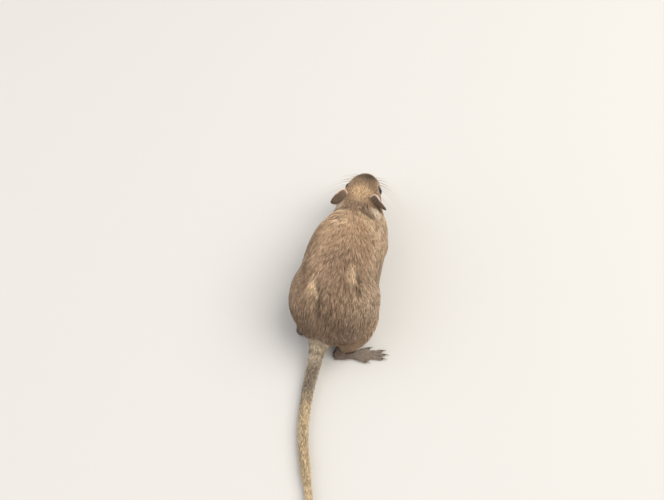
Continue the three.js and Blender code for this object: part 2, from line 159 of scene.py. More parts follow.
def surfaced(material, shader):
    output = material.node_tree.nodes.new("ShaderNodeOutputMaterial")
    material.node_tree.links.new(shader.outputs[0], output.inputs["Surface"])
    return material


# %% [markdown]
# The stage is a wide pale floor, and the light is a photographer's: one broad soft lamp high on the
# animal's right, where the fur looks paler, a weaker one on its left, and pale air all round that fills the
# shadows. A single sun would be simpler, but it draws hard shadows between the tufts and makes a coat look
# wiry. The floor is matte paint put on with a roller, which leaves a fine grain of a millimetre and no
# shine.

# %% Floor and light
ROLLER_GRAIN = 10 / 9 * MM
FLOOR_HALF = 3.0  # metres from its middle to each edge


def floor_paint():
    material = new_material("matte floor paint")
    grain = node(material, "ShaderNodeTexNoise", {"Scale": 1 / ROLLER_GRAIN, "Detail": 3.0}).outputs[0]
    bump = node(material, "ShaderNodeBump", {"Height": grain, "Strength": 0.05, "Distance": 0.1 * MM})
    shader = node(
        material,
        "ShaderNodeBsdfPrincipled",
        {"Base Color": rgba("#c4c2bf"), "Roughness": 0.85, "Normal": bump.outputs["Normal"]},
    )
    return surfaced(material, shader)


floor_mesh = bpy.data.meshes.new("floor")
corners = [(x * FLOOR_HALF, y * FLOOR_HALF, 0) for x, y in ((-1, -1), (1, -1), (1, 1), (-1, 1))]
floor_mesh.from_pydata(corners, [], [(0, 1, 2, 3)])
floor = bpy.data.objects.new("floor", floor_mesh)
floor.data.materials.append(floor_paint())
bpy.context.scene.collection.objects.link(floor)


def lamp(name, place, aim, size, watts, colour):
    light = bpy.data.lights.new(name, "AREA")
    light.size = size
    light.energy = watts
    light.color = tuple(linear(colour))
    lit = bpy.data.objects.new(name, light)
    lit.location = place
    lit.rotation_euler = Vector(aim - place).to_track_quat("-Z", "Y").to_euler()
    bpy.context.scene.collection.objects.link(lit)


BODY_MIDDLE = at(50, 0, 20)
lamp("soft key", at(350, -1260, 1820), BODY_MIDDLE, size=2.1, watts=56, colour="#fffaf2")
lamp("soft fill", at(-550, 1560, 1220), BODY_MIDDLE, size=2.4, watts=18, colour="#f2f6ff")

world = bpy.data.worlds.new("pale air")
world.use_nodes = True
air = world.node_tree.nodes["Background"].inputs
air["Color"].default_value = rgba("#f3f1ee")
air["Strength"].default_value = 0.85
bpy.context.scene.world = world
bpy.context.scene.view_settings.view_transform = "Standard"
print("lights:", ", ".join(light.name for light in bpy.data.lights), "and", world.name)

# %% [markdown]
# Meshes of many small things are quickest from arrays. One function turns arrays of points and triangles
# into an object, and another keeps a number or a colour at every point, which a material can read.

# %% Helpers for meshes
def shade_smooth(mesh):
    mesh.polygons.foreach_set("use_smooth", np.ones(len(mesh.polygons), bool))


def object_from(name, points, faces, material):
    """A smooth object. Each row of faces holds the numbers of a triangle's three points."""
    mesh = bpy.data.meshes.new(name)
    mesh.vertices.add(len(points))
    mesh.vertices.foreach_set("co", np.asarray(points, np.float32).ravel())
    mesh.loops.add(3 * len(faces))
    mesh.loops.foreach_set("vertex_index", faces.astype(np.int32).ravel())
    mesh.polygons.add(len(faces))
    mesh.polygons.foreach_set("loop_start", np.arange(0, 3 * len(faces), 3, dtype=np.int32))
    shade_smooth(mesh)
    mesh.update(calc_edges=True)
    mesh.materials.append(material)
    piece = bpy.data.objects.new(name, mesh)
    bpy.context.scene.collection.objects.link(piece)
    return piece


def attribute(mesh, name, values):
    """Keeps a number or a colour at every vertex, for a material to read."""
    colour = values.ndim == 2
    made = mesh.attributes.new(name, "FLOAT_COLOR" if colour else "FLOAT", "POINT")
    if colour:
        values = np.column_stack([values, np.ones(len(values))])
    made.data.foreach_set("color" if colour else "value", values.astype(np.float32).ravel())


# %% [markdown]
# Soles, toes, claws, whiskers and the tail's core are all tubes that follow a path. A curve object with a
# bevel would give such tubes too. Worked out as rings of points, a tube also knows how far along it each
# point lies, so that its colour can change on the way.

# %% Helpers for tubes
def unit(vectors):
    return vectors / np.maximum(np.linalg.norm(vectors, axis=-1, keepdims=True), 1e-12)


def smooth_path(points, count):
    """A smooth curve through a few points, given as count points at even steps."""
    points = np.asarray(points, float)
    ends = np.vstack([2 * points[0] - points[1], points, 2 * points[-1] - points[-2]])
    place = np.linspace(0, len(points) - 1, 40 * len(points))  # fine enough to measure its length
    i = np.minimum(place.astype(int), len(points) - 2)
    t = (place - i)[:, None]
    a, b, c, d = (ends[i + k] for k in range(4))
    path = 0.5 * (2 * b + (c - a) * t + (2 * a - 5 * b + 4 * c - d) * t**2 + (3 * b - a - 3 * c + d) * t**3)
    length = np.r_[0, np.cumsum(np.linalg.norm(np.diff(path, axis=0), axis=1))]
    even = np.linspace(0, length[-1], count)
    return np.stack([np.interp(even, length, column) for column in path.T], 1)


def ring_faces(rings, sides):
    """Triangles that join each ring of points to the next one."""
    here = np.arange(sides)
    here_next = np.roll(here, -1)
    there, there_next = here + sides, here_next + sides
    faces = np.vstack([np.stack([here, here_next, there_next], 1), np.stack([here, there_next, there], 1)])
    return np.vstack([faces + sides * ring for ring in range(rings - 1)])


def tube(path, radii, sides, flat=1.0):
    """Rings along a path, closed at both ends. flat is the height of each ring as a share of its width."""
    along = unit(np.gradient(path, axis=0))
    across = unit(np.cross(along, [0.0, 0.0, 1.0]) + 1e-9)
    rise = np.cross(across, along)
    turn = np.linspace(0, 2 * np.pi, sides, endpoint=False)
    reach = np.asarray(radii)[:, None, None]
    flat = np.broadcast_to(flat, len(path))[:, None, None]
    rings = path[:, None] + reach * (
        np.cos(turn)[:, None] * across[:, None] + flat * np.sin(turn)[:, None] * rise[:, None]
    )
    points = np.vstack([rings.reshape(-1, 3), path[:1], path[-1:]])
    ring = np.arange(sides)
    following = np.roll(ring, -1)
    first, last = len(points) - 2, len(points) - 1
    end = (len(path) - 1) * sides
    faces = [
        ring_faces(len(path), sides),
        np.stack([following, ring, np.full(sides, first)], 1),
        np.stack([end + ring, end + following, np.full(sides, last)], 1),
    ]
    return points, np.vstack(faces)


def along_tube(rings, sides):
    """How far along a tube each of its points lies, from 0 to 1."""
    return np.r_[np.repeat(np.linspace(0, 1, rings), sides), 0, 1]


def joined(shapes):
    """Many shapes of points and faces as one."""
    starts = np.cumsum([0] + [len(points) for points, _ in shapes[:-1]])
    points = np.vstack([points for points, _ in shapes])
    faces = np.vstack([faces + start for (_, faces), start in zip(shapes, starts)])
    return points, faces


# %% [markdown]
# A gerbil stands on long narrow hind soles with five toes and on small forepaws with four. The packed
# solids hold their outlines, but knuckles and toe pads are finer than facets. They could be sculpted. Here
# a sole is one tube that swells and narrows from heel to ball, and each toe is a thinner one, bent over its
# knuckle, so that every size stays a number.

# %% The feet's own forms
# All sizes are in millimetres. Widths are half widths, and they and the heights are given at their distance
# from the heel. A toe is its place across the ball as a share, from right to left, how far behind the ball's
# front it starts, its length, and its splay in degrees.
HIND_FOOT = {
    "length": 32,
    "ball": 20,
    "widths": [(0, 2.2), (2.5, 2.9), (10, 2.3), (16, 2.9), (20, 3.4), (22.5, 2.8)],
    "heights": [(0, 3.6), (2.5, 4.2), (10, 3.6), (20, 2.6), (22.5, 1.8)],
    "toes": [
        (-0.95, 5.5, 5.5, -20),
        (-0.5, 0, 9, -8),
        (0, -0.6, 9.6, 0),
        (0.5, 0, 9, 8),
        (0.95, 4.5, 6.5, 18),
    ],
    "toe_radius": 1.15,
    "claw": 2.4,
}
FOREPAW = {
    "length": 12,
    "ball": 5.5,
    "widths": [(0, 1.9), (1.5, 2.2), (4, 2.2), (5.5, 2.6), (7, 2.0)],
    "heights": [(0, 3.0), (1.5, 3.3), (5.5, 2.3), (7, 1.6)],
    "toes": [(-0.9, 1.2, 3.6, -26), (-0.33, 0, 4.4, -9), (0.33, 0, 4.4, 9), (0.9, 1.2, 3.6, 26)],
    "toe_radius": 0.95,
    "claw": 2,
}
FEET = {  # which form, the heel's place and where it points
    "left_hind_foot": (HIND_FOOT, at(8.5, 15.5, 0), heading(1, 0.13, 0)),
    "right_hind_foot": (HIND_FOOT, at(1, -5.5, 0), heading(0.26, -1, 0)),
    "left_forepaw": (FOREPAW, None, heading(1, 0.12, 0)),
    "right_forepaw": (FOREPAW, None, heading(1, -0.12, 0)),
}
print("toes on a hind foot and on a forepaw:", len(HIND_FOOT["toes"]), "and", len(FOREPAW["toes"]))

# %% [markdown]
# The measures now become tubes. A toe starts at the ball of the sole and points where its splay turns it,
# and an ankle of the same kind joins each foot to the lower end of its leg. The forepaws lie where their
# solids lie, and so do not need a heel of their own in the table above.

# %% Shape soles, toes and ankles
TOE_FORM = [  # share of a toe's length, its thickness there as a share, height of its middle in millimetres
    (-0.25, 0.9, 1.2),
    (0.1, 0.9, 1.3),
    (0.4, 1.1, 1.35),
    (0.62, 0.8, 1.0),
    (0.85, 1.05, 0.95),
    (1, 0.5, 0.85),
]
HAIR_OVER_TOE = 0.25  # mm of a toe's radius that its hair takes
SOLE_RINGS, SOLE_SIDES = 14, 24
TOE_RINGS, TOE_SIDES = 16, 14
ANKLE_RINGS, ANKLE_SIDES = 10, 18
SOLE_MIDDLE = 0.44  # share of its height, a little low, so that the sole presses on the floor
PAW_REACH = 9 * MM  # this far in front of its heel, a forepaw crosses the middle of its solid


def turned(direction, degrees):
    """A direction in the floor's plane, turned to the left."""
    c, s = math.cos(math.radians(degrees)), math.sin(math.radians(degrees))
    x, y, z = direction
    return np.array([c * x - s * y, s * x + c * y, z])


def toes_of(form, heel, points_to):
    """For each toe, where it starts, where it points and how long it is in millimetres."""
    left_of_it = turned(points_to, 90)
    longest = max(length - back for _, back, length, _ in form["toes"])
    ball_at = form["length"] - longest - form["claw"]
    half = dict(form["widths"])[form["ball"]] - 0.85 * form["toe_radius"]
    for across, back, length, splay in form["toes"]:
        start = heel + MM * (points_to * (ball_at - back) + left_of_it * across * half)
        yield start, turned(points_to, splay), length


def foot_shapes(form, heel, points_to):
    """A sole and its toes, each toe with a knuckle and a pad at its end."""
    far = form["widths"][-1][0]
    stops = np.linspace(0, far, SOLE_RINGS)
    width = np.interp(stops, *zip(*form["widths"]))
    height = np.interp(stops, *zip(*form["heights"]))
    path = heel + MM * (stops[:, None] * points_to + SOLE_MIDDLE * height[:, None] * [0, 0, 1])
    closing = np.minimum(1, 0.35 + np.minimum(stops, far - stops) / 1.8)  # rounds off heel and ball
    yield tube(path, width * closing * MM, SOLE_SIDES, height / 2 / width)
    radius = form["toe_radius"] - HAIR_OVER_TOE
    along, thick, rise = (np.array(column) for column in zip(*TOE_FORM))
    for start, direction, length in toes_of(form, heel, points_to):
        path = start + MM * (along[:, None] * length * direction + rise[:, None] * [0, 0, 1])
        path = smooth_path(path, TOE_RINGS)
        radii = np.interp(np.linspace(along[0], 1, TOE_RINGS), along, thick) * radius * MM
        yield tube(path, radii, TOE_SIDES)


def ankle_shape(leg, heel, points_to, radius):
    """A short limb from the middle of the heel up into the lower end of the leg."""
    solid = np.array([vertex.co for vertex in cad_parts[leg].data.vertices])
    lower = solid[np.argsort(solid[:, 2])[: len(solid) // 6]].mean(0)
    start = heel + MM * (1.6 * points_to + 1.7 * np.array([0, 0, 1]))
    top = np.array([0.6 * lower[0] + 0.4 * start[0], 0.6 * lower[1] + 0.4 * start[1], lower[2] + 4 * MM])
    path = smooth_path([start, (start + top) / 2 + [0, 0, 0.4 * MM], top], ANKLE_RINGS)
    return tube(path, np.linspace(0.95, 1.15, ANKLE_RINGS) * radius * MM, ANKLE_SIDES)


for side in ("left", "right"):
    form, _, points_to = FEET[f"{side}_forepaw"]
    low, high = (np.array(corner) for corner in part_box(f"{side}_forepaw"))
    heel = np.array([(low[0] + high[0]) / 2, high[1], 0]) - points_to * [PAW_REACH, 0, 0]
    FEET[f"{side}_forepaw"] = (form, heel, points_to)
print({name: measured(heel[None])[0].round(1) for name, (_, heel, _) in FEET.items()})

# %% [markdown]
# The skin is one closed surface over trunk, head, legs, feet and tail. It could be sculpted by hand, or
# each solid could be smoothed on its own, which leaves a seam at every joint. A voxel remesh does better:
# the solids are grown until they touch, and the remesh throws one even net over all of them. The tail's end
# is the exception, because its solid carries locks of hair. A plain tapered core takes their place under
# the brush.

# %% Gather the flesh
TOUCH = 0.2 * MM  # closes the gap that the solids keep
TAIL_ROUTE = [  # behind the rump, to the left and above the floor
    (-9, 2, 15),
    (1, 2.5, 10.6),
    (12.5, 2.5, 5.4),
    (24, 2.2, 3.4),
    (45, -1.2, 3),
    (64, -8.1, 2.85),
    (97, -22.5, 2.75),
]
TAIL_RADIUS = 3.0 * MM
TAIL_STEPS = 200
TAIL_CORE_FROM = 0.62  # a share of the tail, inside the solid of its middle

tail_path = smooth_path([at(-back, left, up) for back, left, up in TAIL_ROUTE], TAIL_STEPS)
flesh_nodes = [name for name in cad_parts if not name.endswith(("_eye", "_ear", "tail_tip"))]


def solid_of(name):
    """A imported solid, with its triangles joined at their corners."""
    solid = bmesh.new()
    solid.from_mesh(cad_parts[name].data)
    bmesh.ops.remove_doubles(solid, verts=solid.verts, dist=1e-3 * MM)
    return solid


def add_shape(shape, points, faces):
    mesh = bpy.data.meshes.new("shape")
    mesh.from_pydata(points, [], faces.tolist())
    shape.from_mesh(mesh)
    bpy.data.meshes.remove(mesh)


solids = bmesh.new()
flesh = bmesh.new()
owners = []
for name in flesh_nodes:
    solid = solid_of(name)
    solid.normal_update()
    for vertex in solid.verts:
        vertex.co += vertex.normal * TOUCH
    grown = bpy.data.meshes.new("grown")
    solid.to_mesh(grown)
    solids.from_mesh(grown)
    if name not in FEET:
        flesh.from_mesh(grown)
    owners += [name] * len(grown.polygons)
    solid.free()
    bpy.data.meshes.remove(grown)

core_path = tail_path[int(TAIL_CORE_FROM * len(tail_path)) :]
narrowing = np.linspace(1, 0, len(core_path)) ** 0.5
core_points, core_faces = tube(core_path[::4], (0.35 + 0.6 * narrowing[::4]) * TAIL_RADIUS, sides=16)
add_shape(solids, core_points, core_faces)
add_shape(flesh, core_points, core_faces)
owners += ["tail_tip"] * len(core_faces)
nearest = BVHTree.FromBMesh(solids)
print("flesh:", len(flesh_nodes), "solids and the tail's core,", len(owners), "triangles")

# %% [markdown]
# A toe is only three meshes of the body's net wide and would melt in it. So the feet get a finer net of
# their own, and one Boolean union joins them on. Nose and mouth are finer than the body too, but there it
# is enough to cut the net's own edges in half.

# %% Throw the nets and join them
SKIN_MESH = 0.635 * MM
FEET_MESH = 0.3 * MM
FINER_FROM = (112, 121.5)  # in front of each of these the net is made twice as fine


def with_modifiers(piece):
    """The mesh that a piece has once its modifiers have done their work."""
    return bpy.data.meshes.new_from_object(piece.evaluated_get(bpy.context.evaluated_depsgraph_get()))


def net_of(name, shape, voxel):
    """One closed net of even mesh round all that a mesh holds."""
    mesh = bpy.data.meshes.new(name)
    shape.to_mesh(mesh)
    piece = bpy.data.objects.new(name, mesh)
    bpy.context.scene.collection.objects.link(piece)
    remesh = piece.modifiers.new("net", "REMESH")
    remesh.mode = "VOXEL"
    remesh.voxel_size = voxel
    piece.data = with_modifiers(piece)
    piece.modifiers.clear()
    return piece


feet = bmesh.new()
for name, (form, heel, points_to) in FEET.items():
    for points, faces in foot_shapes(form, heel, points_to):
        add_shape(feet, points, faces)
    leg = name.replace("forepaw", "foreleg").replace("foot", "leg")
    add_shape(feet, *ankle_shape(leg, heel, points_to, form["heights"][1][1] / 2))

skin = net_of("skin", flesh, SKIN_MESH)
foot_nets = net_of("foot_nets", feet, FEET_MESH)
union = skin.modifiers.new("feet", "BOOLEAN")
union.operation = "UNION"
union.solver = "MANIFOLD"
union.object = foot_nets
skin.data = with_modifiers(skin)
skin.modifiers.clear()
bpy.data.objects.remove(foot_nets)

fine = bmesh.new()
fine.from_mesh(skin.data)
for forward in FINER_FROM:
    finer_y = at(forward, 0, 0)[1]
    finer = [edge for edge in fine.edges if all(vertex.co.y < finer_y for vertex in edge.verts)]
    bmesh.ops.subdivide_edges(fine, edges=finer, cuts=1, use_grid_fill=True)
fine.to_mesh(skin.data)
fine.free()
print("skin net:", len(skin.data.vertices), "points")

# %% [markdown]
# From here the skin's points are arrays. Each point belongs to the solid that it lies nearest to, which
# tells thigh from flank and foot from shank. Spreading those memberships over the net, a little to each
# neighbour and many times, turns hard borders into soft ones: every region's coat then passes gently into
# the next one's.

# %% Read the skin as arrays
def read(mesh, data, field, width, kind=np.float32):
    values = np.empty(len(data) * width, kind)
    data.foreach_get(field, values)
    return values.reshape(-1, width) if width > 1 else values


def points_of(mesh):
    return read(mesh, mesh.vertices, "co", 3).astype(float)


def normals_of(mesh):
    return read(mesh, mesh.vertex_normals, "vector", 3).astype(float)


def spread(values, edges, rounds, share=1.0):
    """Moves values towards the mean of their neighbours', by a share that may differ from place to place."""
    one, other = edges.T
    count = len(values)
    neighbours = np.bincount(one, minlength=count) + np.bincount(other, minlength=count)
    share = np.broadcast_to(share, count)[:, None]
    for _ in range(rounds):
        total = [np.bincount(one, v[other], count) + np.bincount(other, v[one], count) for v in values.T]
        values = values + share * (np.stack(total, 1) / neighbours[:, None] - values) / 2
    return values


points = points_of(skin.data)
edges = read(skin.data, skin.data.edges, "vertices", 2, np.int32)
REGIONS = [*flesh_nodes, "tail_tip"]
region_of = np.array([REGIONS.index(owners[nearest.find_nearest(p)[2]]) for p in points])
BLEND_ROUNDS = 16
weights = spread(np.eye(len(REGIONS))[region_of], edges, BLEND_ROUNDS)


def weight(*names):
    """How far each point of the skin belongs to regions whose names end so."""
    return sum(weights[:, i] for i, region in enumerate(REGIONS) if region.endswith(names))


print({region: int((region_of == i).sum()) for i, region in enumerate(REGIONS)})

# %% [markdown]
# Hair, colours and locks of the tail change from its root to its tip, so each of its points has to know how
# far along it lies. A search tree of the tail's middle line gives the nearest place on that line.

# %% Find each point's place along the tail
def tree_of(points):
    tree = KDTree(len(points))
    for i, p in enumerate(points):
        tree.insert(p, i)
    tree.balance()
    return tree


is_tail = weight("tail_base", "tail_middle", "tail_tip")
on_tail = np.flatnonzero(is_tail > 0.02)
path_tree = tree_of(tail_path)
tail_index = np.zeros(len(points), int)
tail_index[on_tail] = [path_tree.find(points[i])[1] for i in on_tail]
tail_share = tail_index / len(tail_path)
print("on the tail:", len(on_tail), "points")

# %% [markdown]
# A coat is a table of sizes: how deep it lies over the skin, how long and how wide one tuft is, and how
# many tufts a square millimetre carries. On a gerbil it is longest on the back and rump and turns to plush
# on the muzzle and feet. The table is measured in the regions' middles, and the soft memberships blend it
# between. At the tail's end a brush adds its own sizes to the table, and on the muzzle and round the eyes
# plush takes some away.

# %% The coat's sizes on each region, in millimetres
COAT = {  # crowd is the number of tufts to a square millimetre
    "torso": {"depth": 2.2, "length": 8.6, "width": 0.31, "crowd": 5.8},
    "neck": {"depth": 1.8, "length": 6.0, "width": 0.28, "crowd": 6.6},
    "head": {"depth": 1.1, "length": 3.0, "width": 0.23, "crowd": 8.0},
    "hind_leg": {"depth": 1.9, "length": 6.4, "width": 0.3, "crowd": 5.6},
    "hind_foot": {"depth": 0.2, "length": 1.1, "width": 0.14, "crowd": 15.0},
    "foreleg": {"depth": 1.0, "length": 3.0, "width": 0.28, "crowd": 6.0},
    "forepaw": {"depth": 0.18, "length": 0.8, "width": 0.13, "crowd": 15.0},
    "tail_base": {"depth": 0.65, "length": 4.6, "width": 0.25, "crowd": 7.0},
    "tail_middle": {"depth": 0.5, "length": 4.6, "width": 0.24, "crowd": 7.0},
    "tail_tip": {"depth": 0.5, "length": 4.2, "width": 0.24, "crowd": 8.0},
}
BRUSH_FROM, BRUSH_FULL = 0.82, 0.96  # shares of the tail
BRUSH = {"rise": 1.8, "length": 5.1, "width": 0.05, "crowd": 9.0}  # what the brush adds to the tail's coat
MUZZLE_FROM, MUZZLE_FULL = 102, 120  # mm forward
MUZZLE_PLUSH = {"depth": -0.65, "rise": -0.65, "length": -0.6, "width": -0.35, "crowd": 0.5}  # shares
EYE_RADIUS = 3.2 * MM
EYE_PLUSH = {"depth": -0.75, "rise": -0.75, "length": -0.75, "width": -0.4}  # shares
EYE_PLUSH_REACH = 1.6  # mm from the eye


def ramp(values, start, end):
    """From 0 at the start to 1 at the end, soft at both."""
    share = np.clip((values - start) / (end - start), 0, 1)
    return share * share * (3 - 2 * share)


def near(distance, reach):
    """1 at no distance and fading with it."""
    return np.exp(-((distance / reach) ** 2))


forward, left, up = measured(points)
on_head = weight("head")
coat = {
    size: sum(weight(region) * sizes[size] for region, sizes in COAT.items())
    for size in ("depth", "length", "width", "crowd")
}
coat["rise"] = coat["depth"].copy()
brush = ramp(tail_share, BRUSH_FROM, BRUSH_FULL) * is_tail
for size, more in BRUSH.items():
    coat[size] += more * brush

eyes = {side: middle_of(f"{side}_eye") for side in ("left", "right")}
from_eye = np.min([np.linalg.norm(points - eye, axis=1) for eye in eyes.values()], axis=0) - EYE_RADIUS
eye_side = np.where(left[:, None] > 0, eyes["left"], eyes["right"])
brow = ramp(unit(points - eye_side) @ heading(-0.5, 0, 0.85), 0.1, 0.7)
eye_rim = near(np.maximum(from_eye, 0) / MM, EYE_PLUSH_REACH) * (1 - 0.75 * brow)
muzzle = ramp(forward, MUZZLE_FROM, MUZZLE_FULL) * on_head
for plush, where in ((MUZZLE_PLUSH, muzzle), (EYE_PLUSH, eye_rim)):
    for size, change in plush.items():
        coat[size] *= 1 + change * where
print({size: (round(values.min(), 2), round(values.max(), 2)) for size, values in coat.items()})

# %% [markdown]
# Smoothing takes the facets off the solids and melts thigh into flank. Toes and muzzle get little of it, or
# they would wither. Then the skin sinks along its own normals by the depth of the coat, so that the tips of
# the hair, and not the skin, come out where the solids are.

# %% Smooth and sink the skin
SMOOTHING = {
    "torso": 1.0,
    "neck": 1.0,
    "head": 0.4,
    "hind_leg": 1.0,
    "hind_foot": 0.12,
    "foreleg": 0.7,
    "forepaw": 0.08,
    "tail_base": 0.6,
    "tail_middle": 0.6,
    "tail_tip": 0.6,
}
SMOOTH_ROUNDS = 50
FOOT_ROUNDS = 40  # how far the feet's short hair spreads up the legs
SINK = 0.85  # share of the coat's depth


def set_points(mesh, points):
    mesh.vertices.foreach_set("co", points.astype(np.float32).ravel())
    mesh.update()


is_foot = weight("hind_foot", "forepaw")
near_foot = spread((is_foot > 0.4)[:, None] * 1.0, edges, FOOT_ROUNDS)[:, 0]
near_foot = np.clip(2.2 * near_foot, 0, 1)
coat["length"] *= 1 - 0.6 * near_foot * (1 - is_foot)
smoothing = sum(weight(region) * share for region, share in SMOOTHING.items())
points = spread(points, edges, SMOOTH_ROUNDS, smoothing * (1 - 0.8 * eye_rim) * (1 - 0.75 * near_foot))
set_points(skin.data, points)
sunk = (SINK * coat["depth"] * MM + TOUCH) * (1 - 0.85 * near_foot)
points = points - normals_of(skin.data) * sunk[:, None]
set_points(skin.data, points)
print("skin sunk by up to", round(sunk.max() / MM, 2), "mm")

# %% [markdown]
# Nose and mouth are small hollows with soft edges. A sculptor would draw them with a crease brush. Here
# each one is a formula of how far a point lies beyond the nose, beside it and above it, and the formula's
# value is how deep the skin is pressed in. The same values later paint shade into the hollows.

# %% Press in the nose and the mouth
NOSE = at(124.3, 1.1, 19.5)
HEAD_TURN = math.radians(2)  # to the left
AHEAD = heading(math.cos(HEAD_TURN), math.sin(HEAD_TURN), 0)
ASIDE = heading(-math.sin(HEAD_TURN), math.cos(HEAD_TURN), 0)
NOSTRILS_ASIDE = 1.3  # mm, each from the middle of the nose
MOUTH_BELOW_NOSE = 4.9  # mm
MOUTH_LENGTH = 11  # mm from the nose back to the corners

beyond = (points - NOSE) @ AHEAD / MM
aside = (points - NOSE) @ ASIDE / MM
above = (points - NOSE)[:, 2] / MM
lip_height = above + MOUTH_BELOW_NOSE + 0.03 * beyond
mouth = near(lip_height, 0.32) * ramp(beyond, -MOUTH_LENGTH - 2, -MOUTH_LENGTH + 2) * on_head
lips = near(np.abs(lip_height) - 0.75, 0.4) * ramp(beyond, -MOUTH_LENGTH, -4) * on_head
cleft = near(aside, 0.28) * ramp(above, -MOUTH_BELOW_NOSE - 0.6, -MOUTH_BELOW_NOSE + 0.4)
cleft = cleft * ramp(-above, 0.4, 1.2) * ramp(beyond, -4, -1) * on_head
beside_nostril = np.abs(aside) - NOSTRILS_ASIDE
nostrils = near(np.hypot(beside_nostril / 0.75, (above - 0.1 + 0.4 * beside_nostril) / 0.45), 1)
nostrils = nostrils * ramp(beyond, -2.5, -0.5) * on_head
pressed = 0.75 * mouth + 0.3 * cleft + 0.7 * nostrils - 0.18 * lips
points = points - normals_of(skin.data) * pressed[:, None] * MM
points[:, 2] = np.maximum(points[:, 2], 0.05 * MM)
set_points(skin.data, points)
print("skin from", points.min(0).round(4), "to", points.max(0).round(4))

# %% [markdown]
# Hair has a lie: it runs back from the nose over head and trunk, down the thighs, along the tail and out
# over the feet towards the toes. Painting that by hand is what a comb brush does. Here each region states
# one direction, and the same spreading as before, kept in the skin's surface, turns the sharp changes into
# swirls. A little smooth noise then keeps the lie from looking ruled. A coat also parts into narrow locks,
# some lighter and some darker, that run along the lie. They come from the same noise, read from places that
# are pressed together along the hair's flow, which draws each wave out into a streak.

# %% Comb the coat
CALM_ROUNDS, FLOW_ROUNDS = 12, 14
WAVER = 0.09  # about 5 degrees
LOCK_SEED, WAVER_SEED = 7, 1
PARTED = 0.32  # how far the hair of the back runs outwards, for each step that it runs back
PARTED_OVER = 8  # mm to each side of the middle line, over which it begins to do so
WAVE_LENGTHS = (9, 5, 14)  # mm
LOCK_WIDTHS = (2.2, 3.4, 5.5)  # mm from one lighter lock to the next
ALONG_TRUNK, UP_TRUNK = 0.16, 0.5  # how much places are pressed together for the locks
ACROSS_TAIL, ALONG_TAIL = 1.7, 0.1
PAW_TOP = 4 * MM  # the forelegs' hair runs to this height over the middle of the paws
TURNING, STEADY = 0.7, 0.96  # how far neighbours agree where the lie turns sharply and where it doesn't turn


def waves(points, seed, lengths=WAVE_LENGTHS):
    """Smooth noise between about -1 and 1, from a few seeded waves that cross."""
    draw = np.random.default_rng(seed)
    total = np.zeros(len(points))
    for length in np.repeat(lengths, 3):
        direction = unit(draw.normal(size=3)) * 2 * np.pi / (length * MM)
        total += np.sin(points @ direction + draw.uniform(0, 2 * np.pi))
    return total / math.sqrt(3 * len(lengths) / 2) / 2


def on_surface(directions, normals):
    """Directions with what points into or out of the surface taken away."""
    return unit(directions - (directions * normals).sum(1, keepdims=True) * normals)


normals = normals_of(skin.data)
tail_along = unit(np.gradient(tail_path, axis=0))

forward, left, up = measured(points)
outwards = PARTED * np.tanh(left / PARTED_OVER)
lock_places = np.stack([left + outwards * forward, ALONG_TRUNK * forward, UP_TRUNK * up], 1) * MM
tail_length = np.linalg.norm(np.diff(tail_path, axis=0), axis=1).sum()
tail_places = ACROSS_TAIL * (points - tail_path[tail_index])
tail_places[:, 1] = ALONG_TAIL * tail_share * tail_length
lock_places += is_tail[:, None] * (tail_places - lock_places)
coat["lock"] = waves(lock_places, LOCK_SEED, LOCK_WIDTHS)

side_down = np.stack([outwards, np.ones(len(points)), -0.55 * np.abs(normals[:, 0])], 1)
from_nose = unit(points - NOSE) + 0.35 * heading(-1, 0, -0.1)
from_nose += 1.4 * eye_rim[:, None] * unit(points - eye_side)
LIES = {
    "torso": side_down,
    "neck": side_down,
    "head": from_nose,
    "hind_leg": heading(-1, 0, -0.75),
    "left_hind_foot": FEET["left_hind_foot"][2],
    "right_hind_foot": FEET["right_hind_foot"][2],
    "left_foreleg": unit(middle_of("left_forepaw") + PAW_TOP * heading(0, 0, 1) - points),
    "right_foreleg": unit(middle_of("right_forepaw") + PAW_TOP * heading(0, 0, 1) - points),
    "forepaw": heading(1, 0, 0),
    "tail_base": tail_along[tail_index],
    "tail_middle": tail_along[tail_index],
    "tail_tip": tail_along[tail_index],
}
lie = sum(weight(region)[:, None] * np.broadcast_to(flow, points.shape) for region, flow in LIES.items())
lie = on_surface(lie, normals)
calm = np.linalg.norm(spread(lie, edges, CALM_ROUNDS), axis=1)  # 1 where all neighbours agree
coat["length"] *= 0.4 + 0.6 * ramp(calm, TURNING, STEADY)
for _ in range(FLOW_ROUNDS):
    lie = on_surface(spread(lie, edges, 1), normals)
lie = on_surface(lie + WAVER * waves(points, WAVER_SEED)[:, None] * np.cross(normals, lie), normals)
print("the hair is shorter at", int((calm < STEADY).sum()), "points where its lie turns")
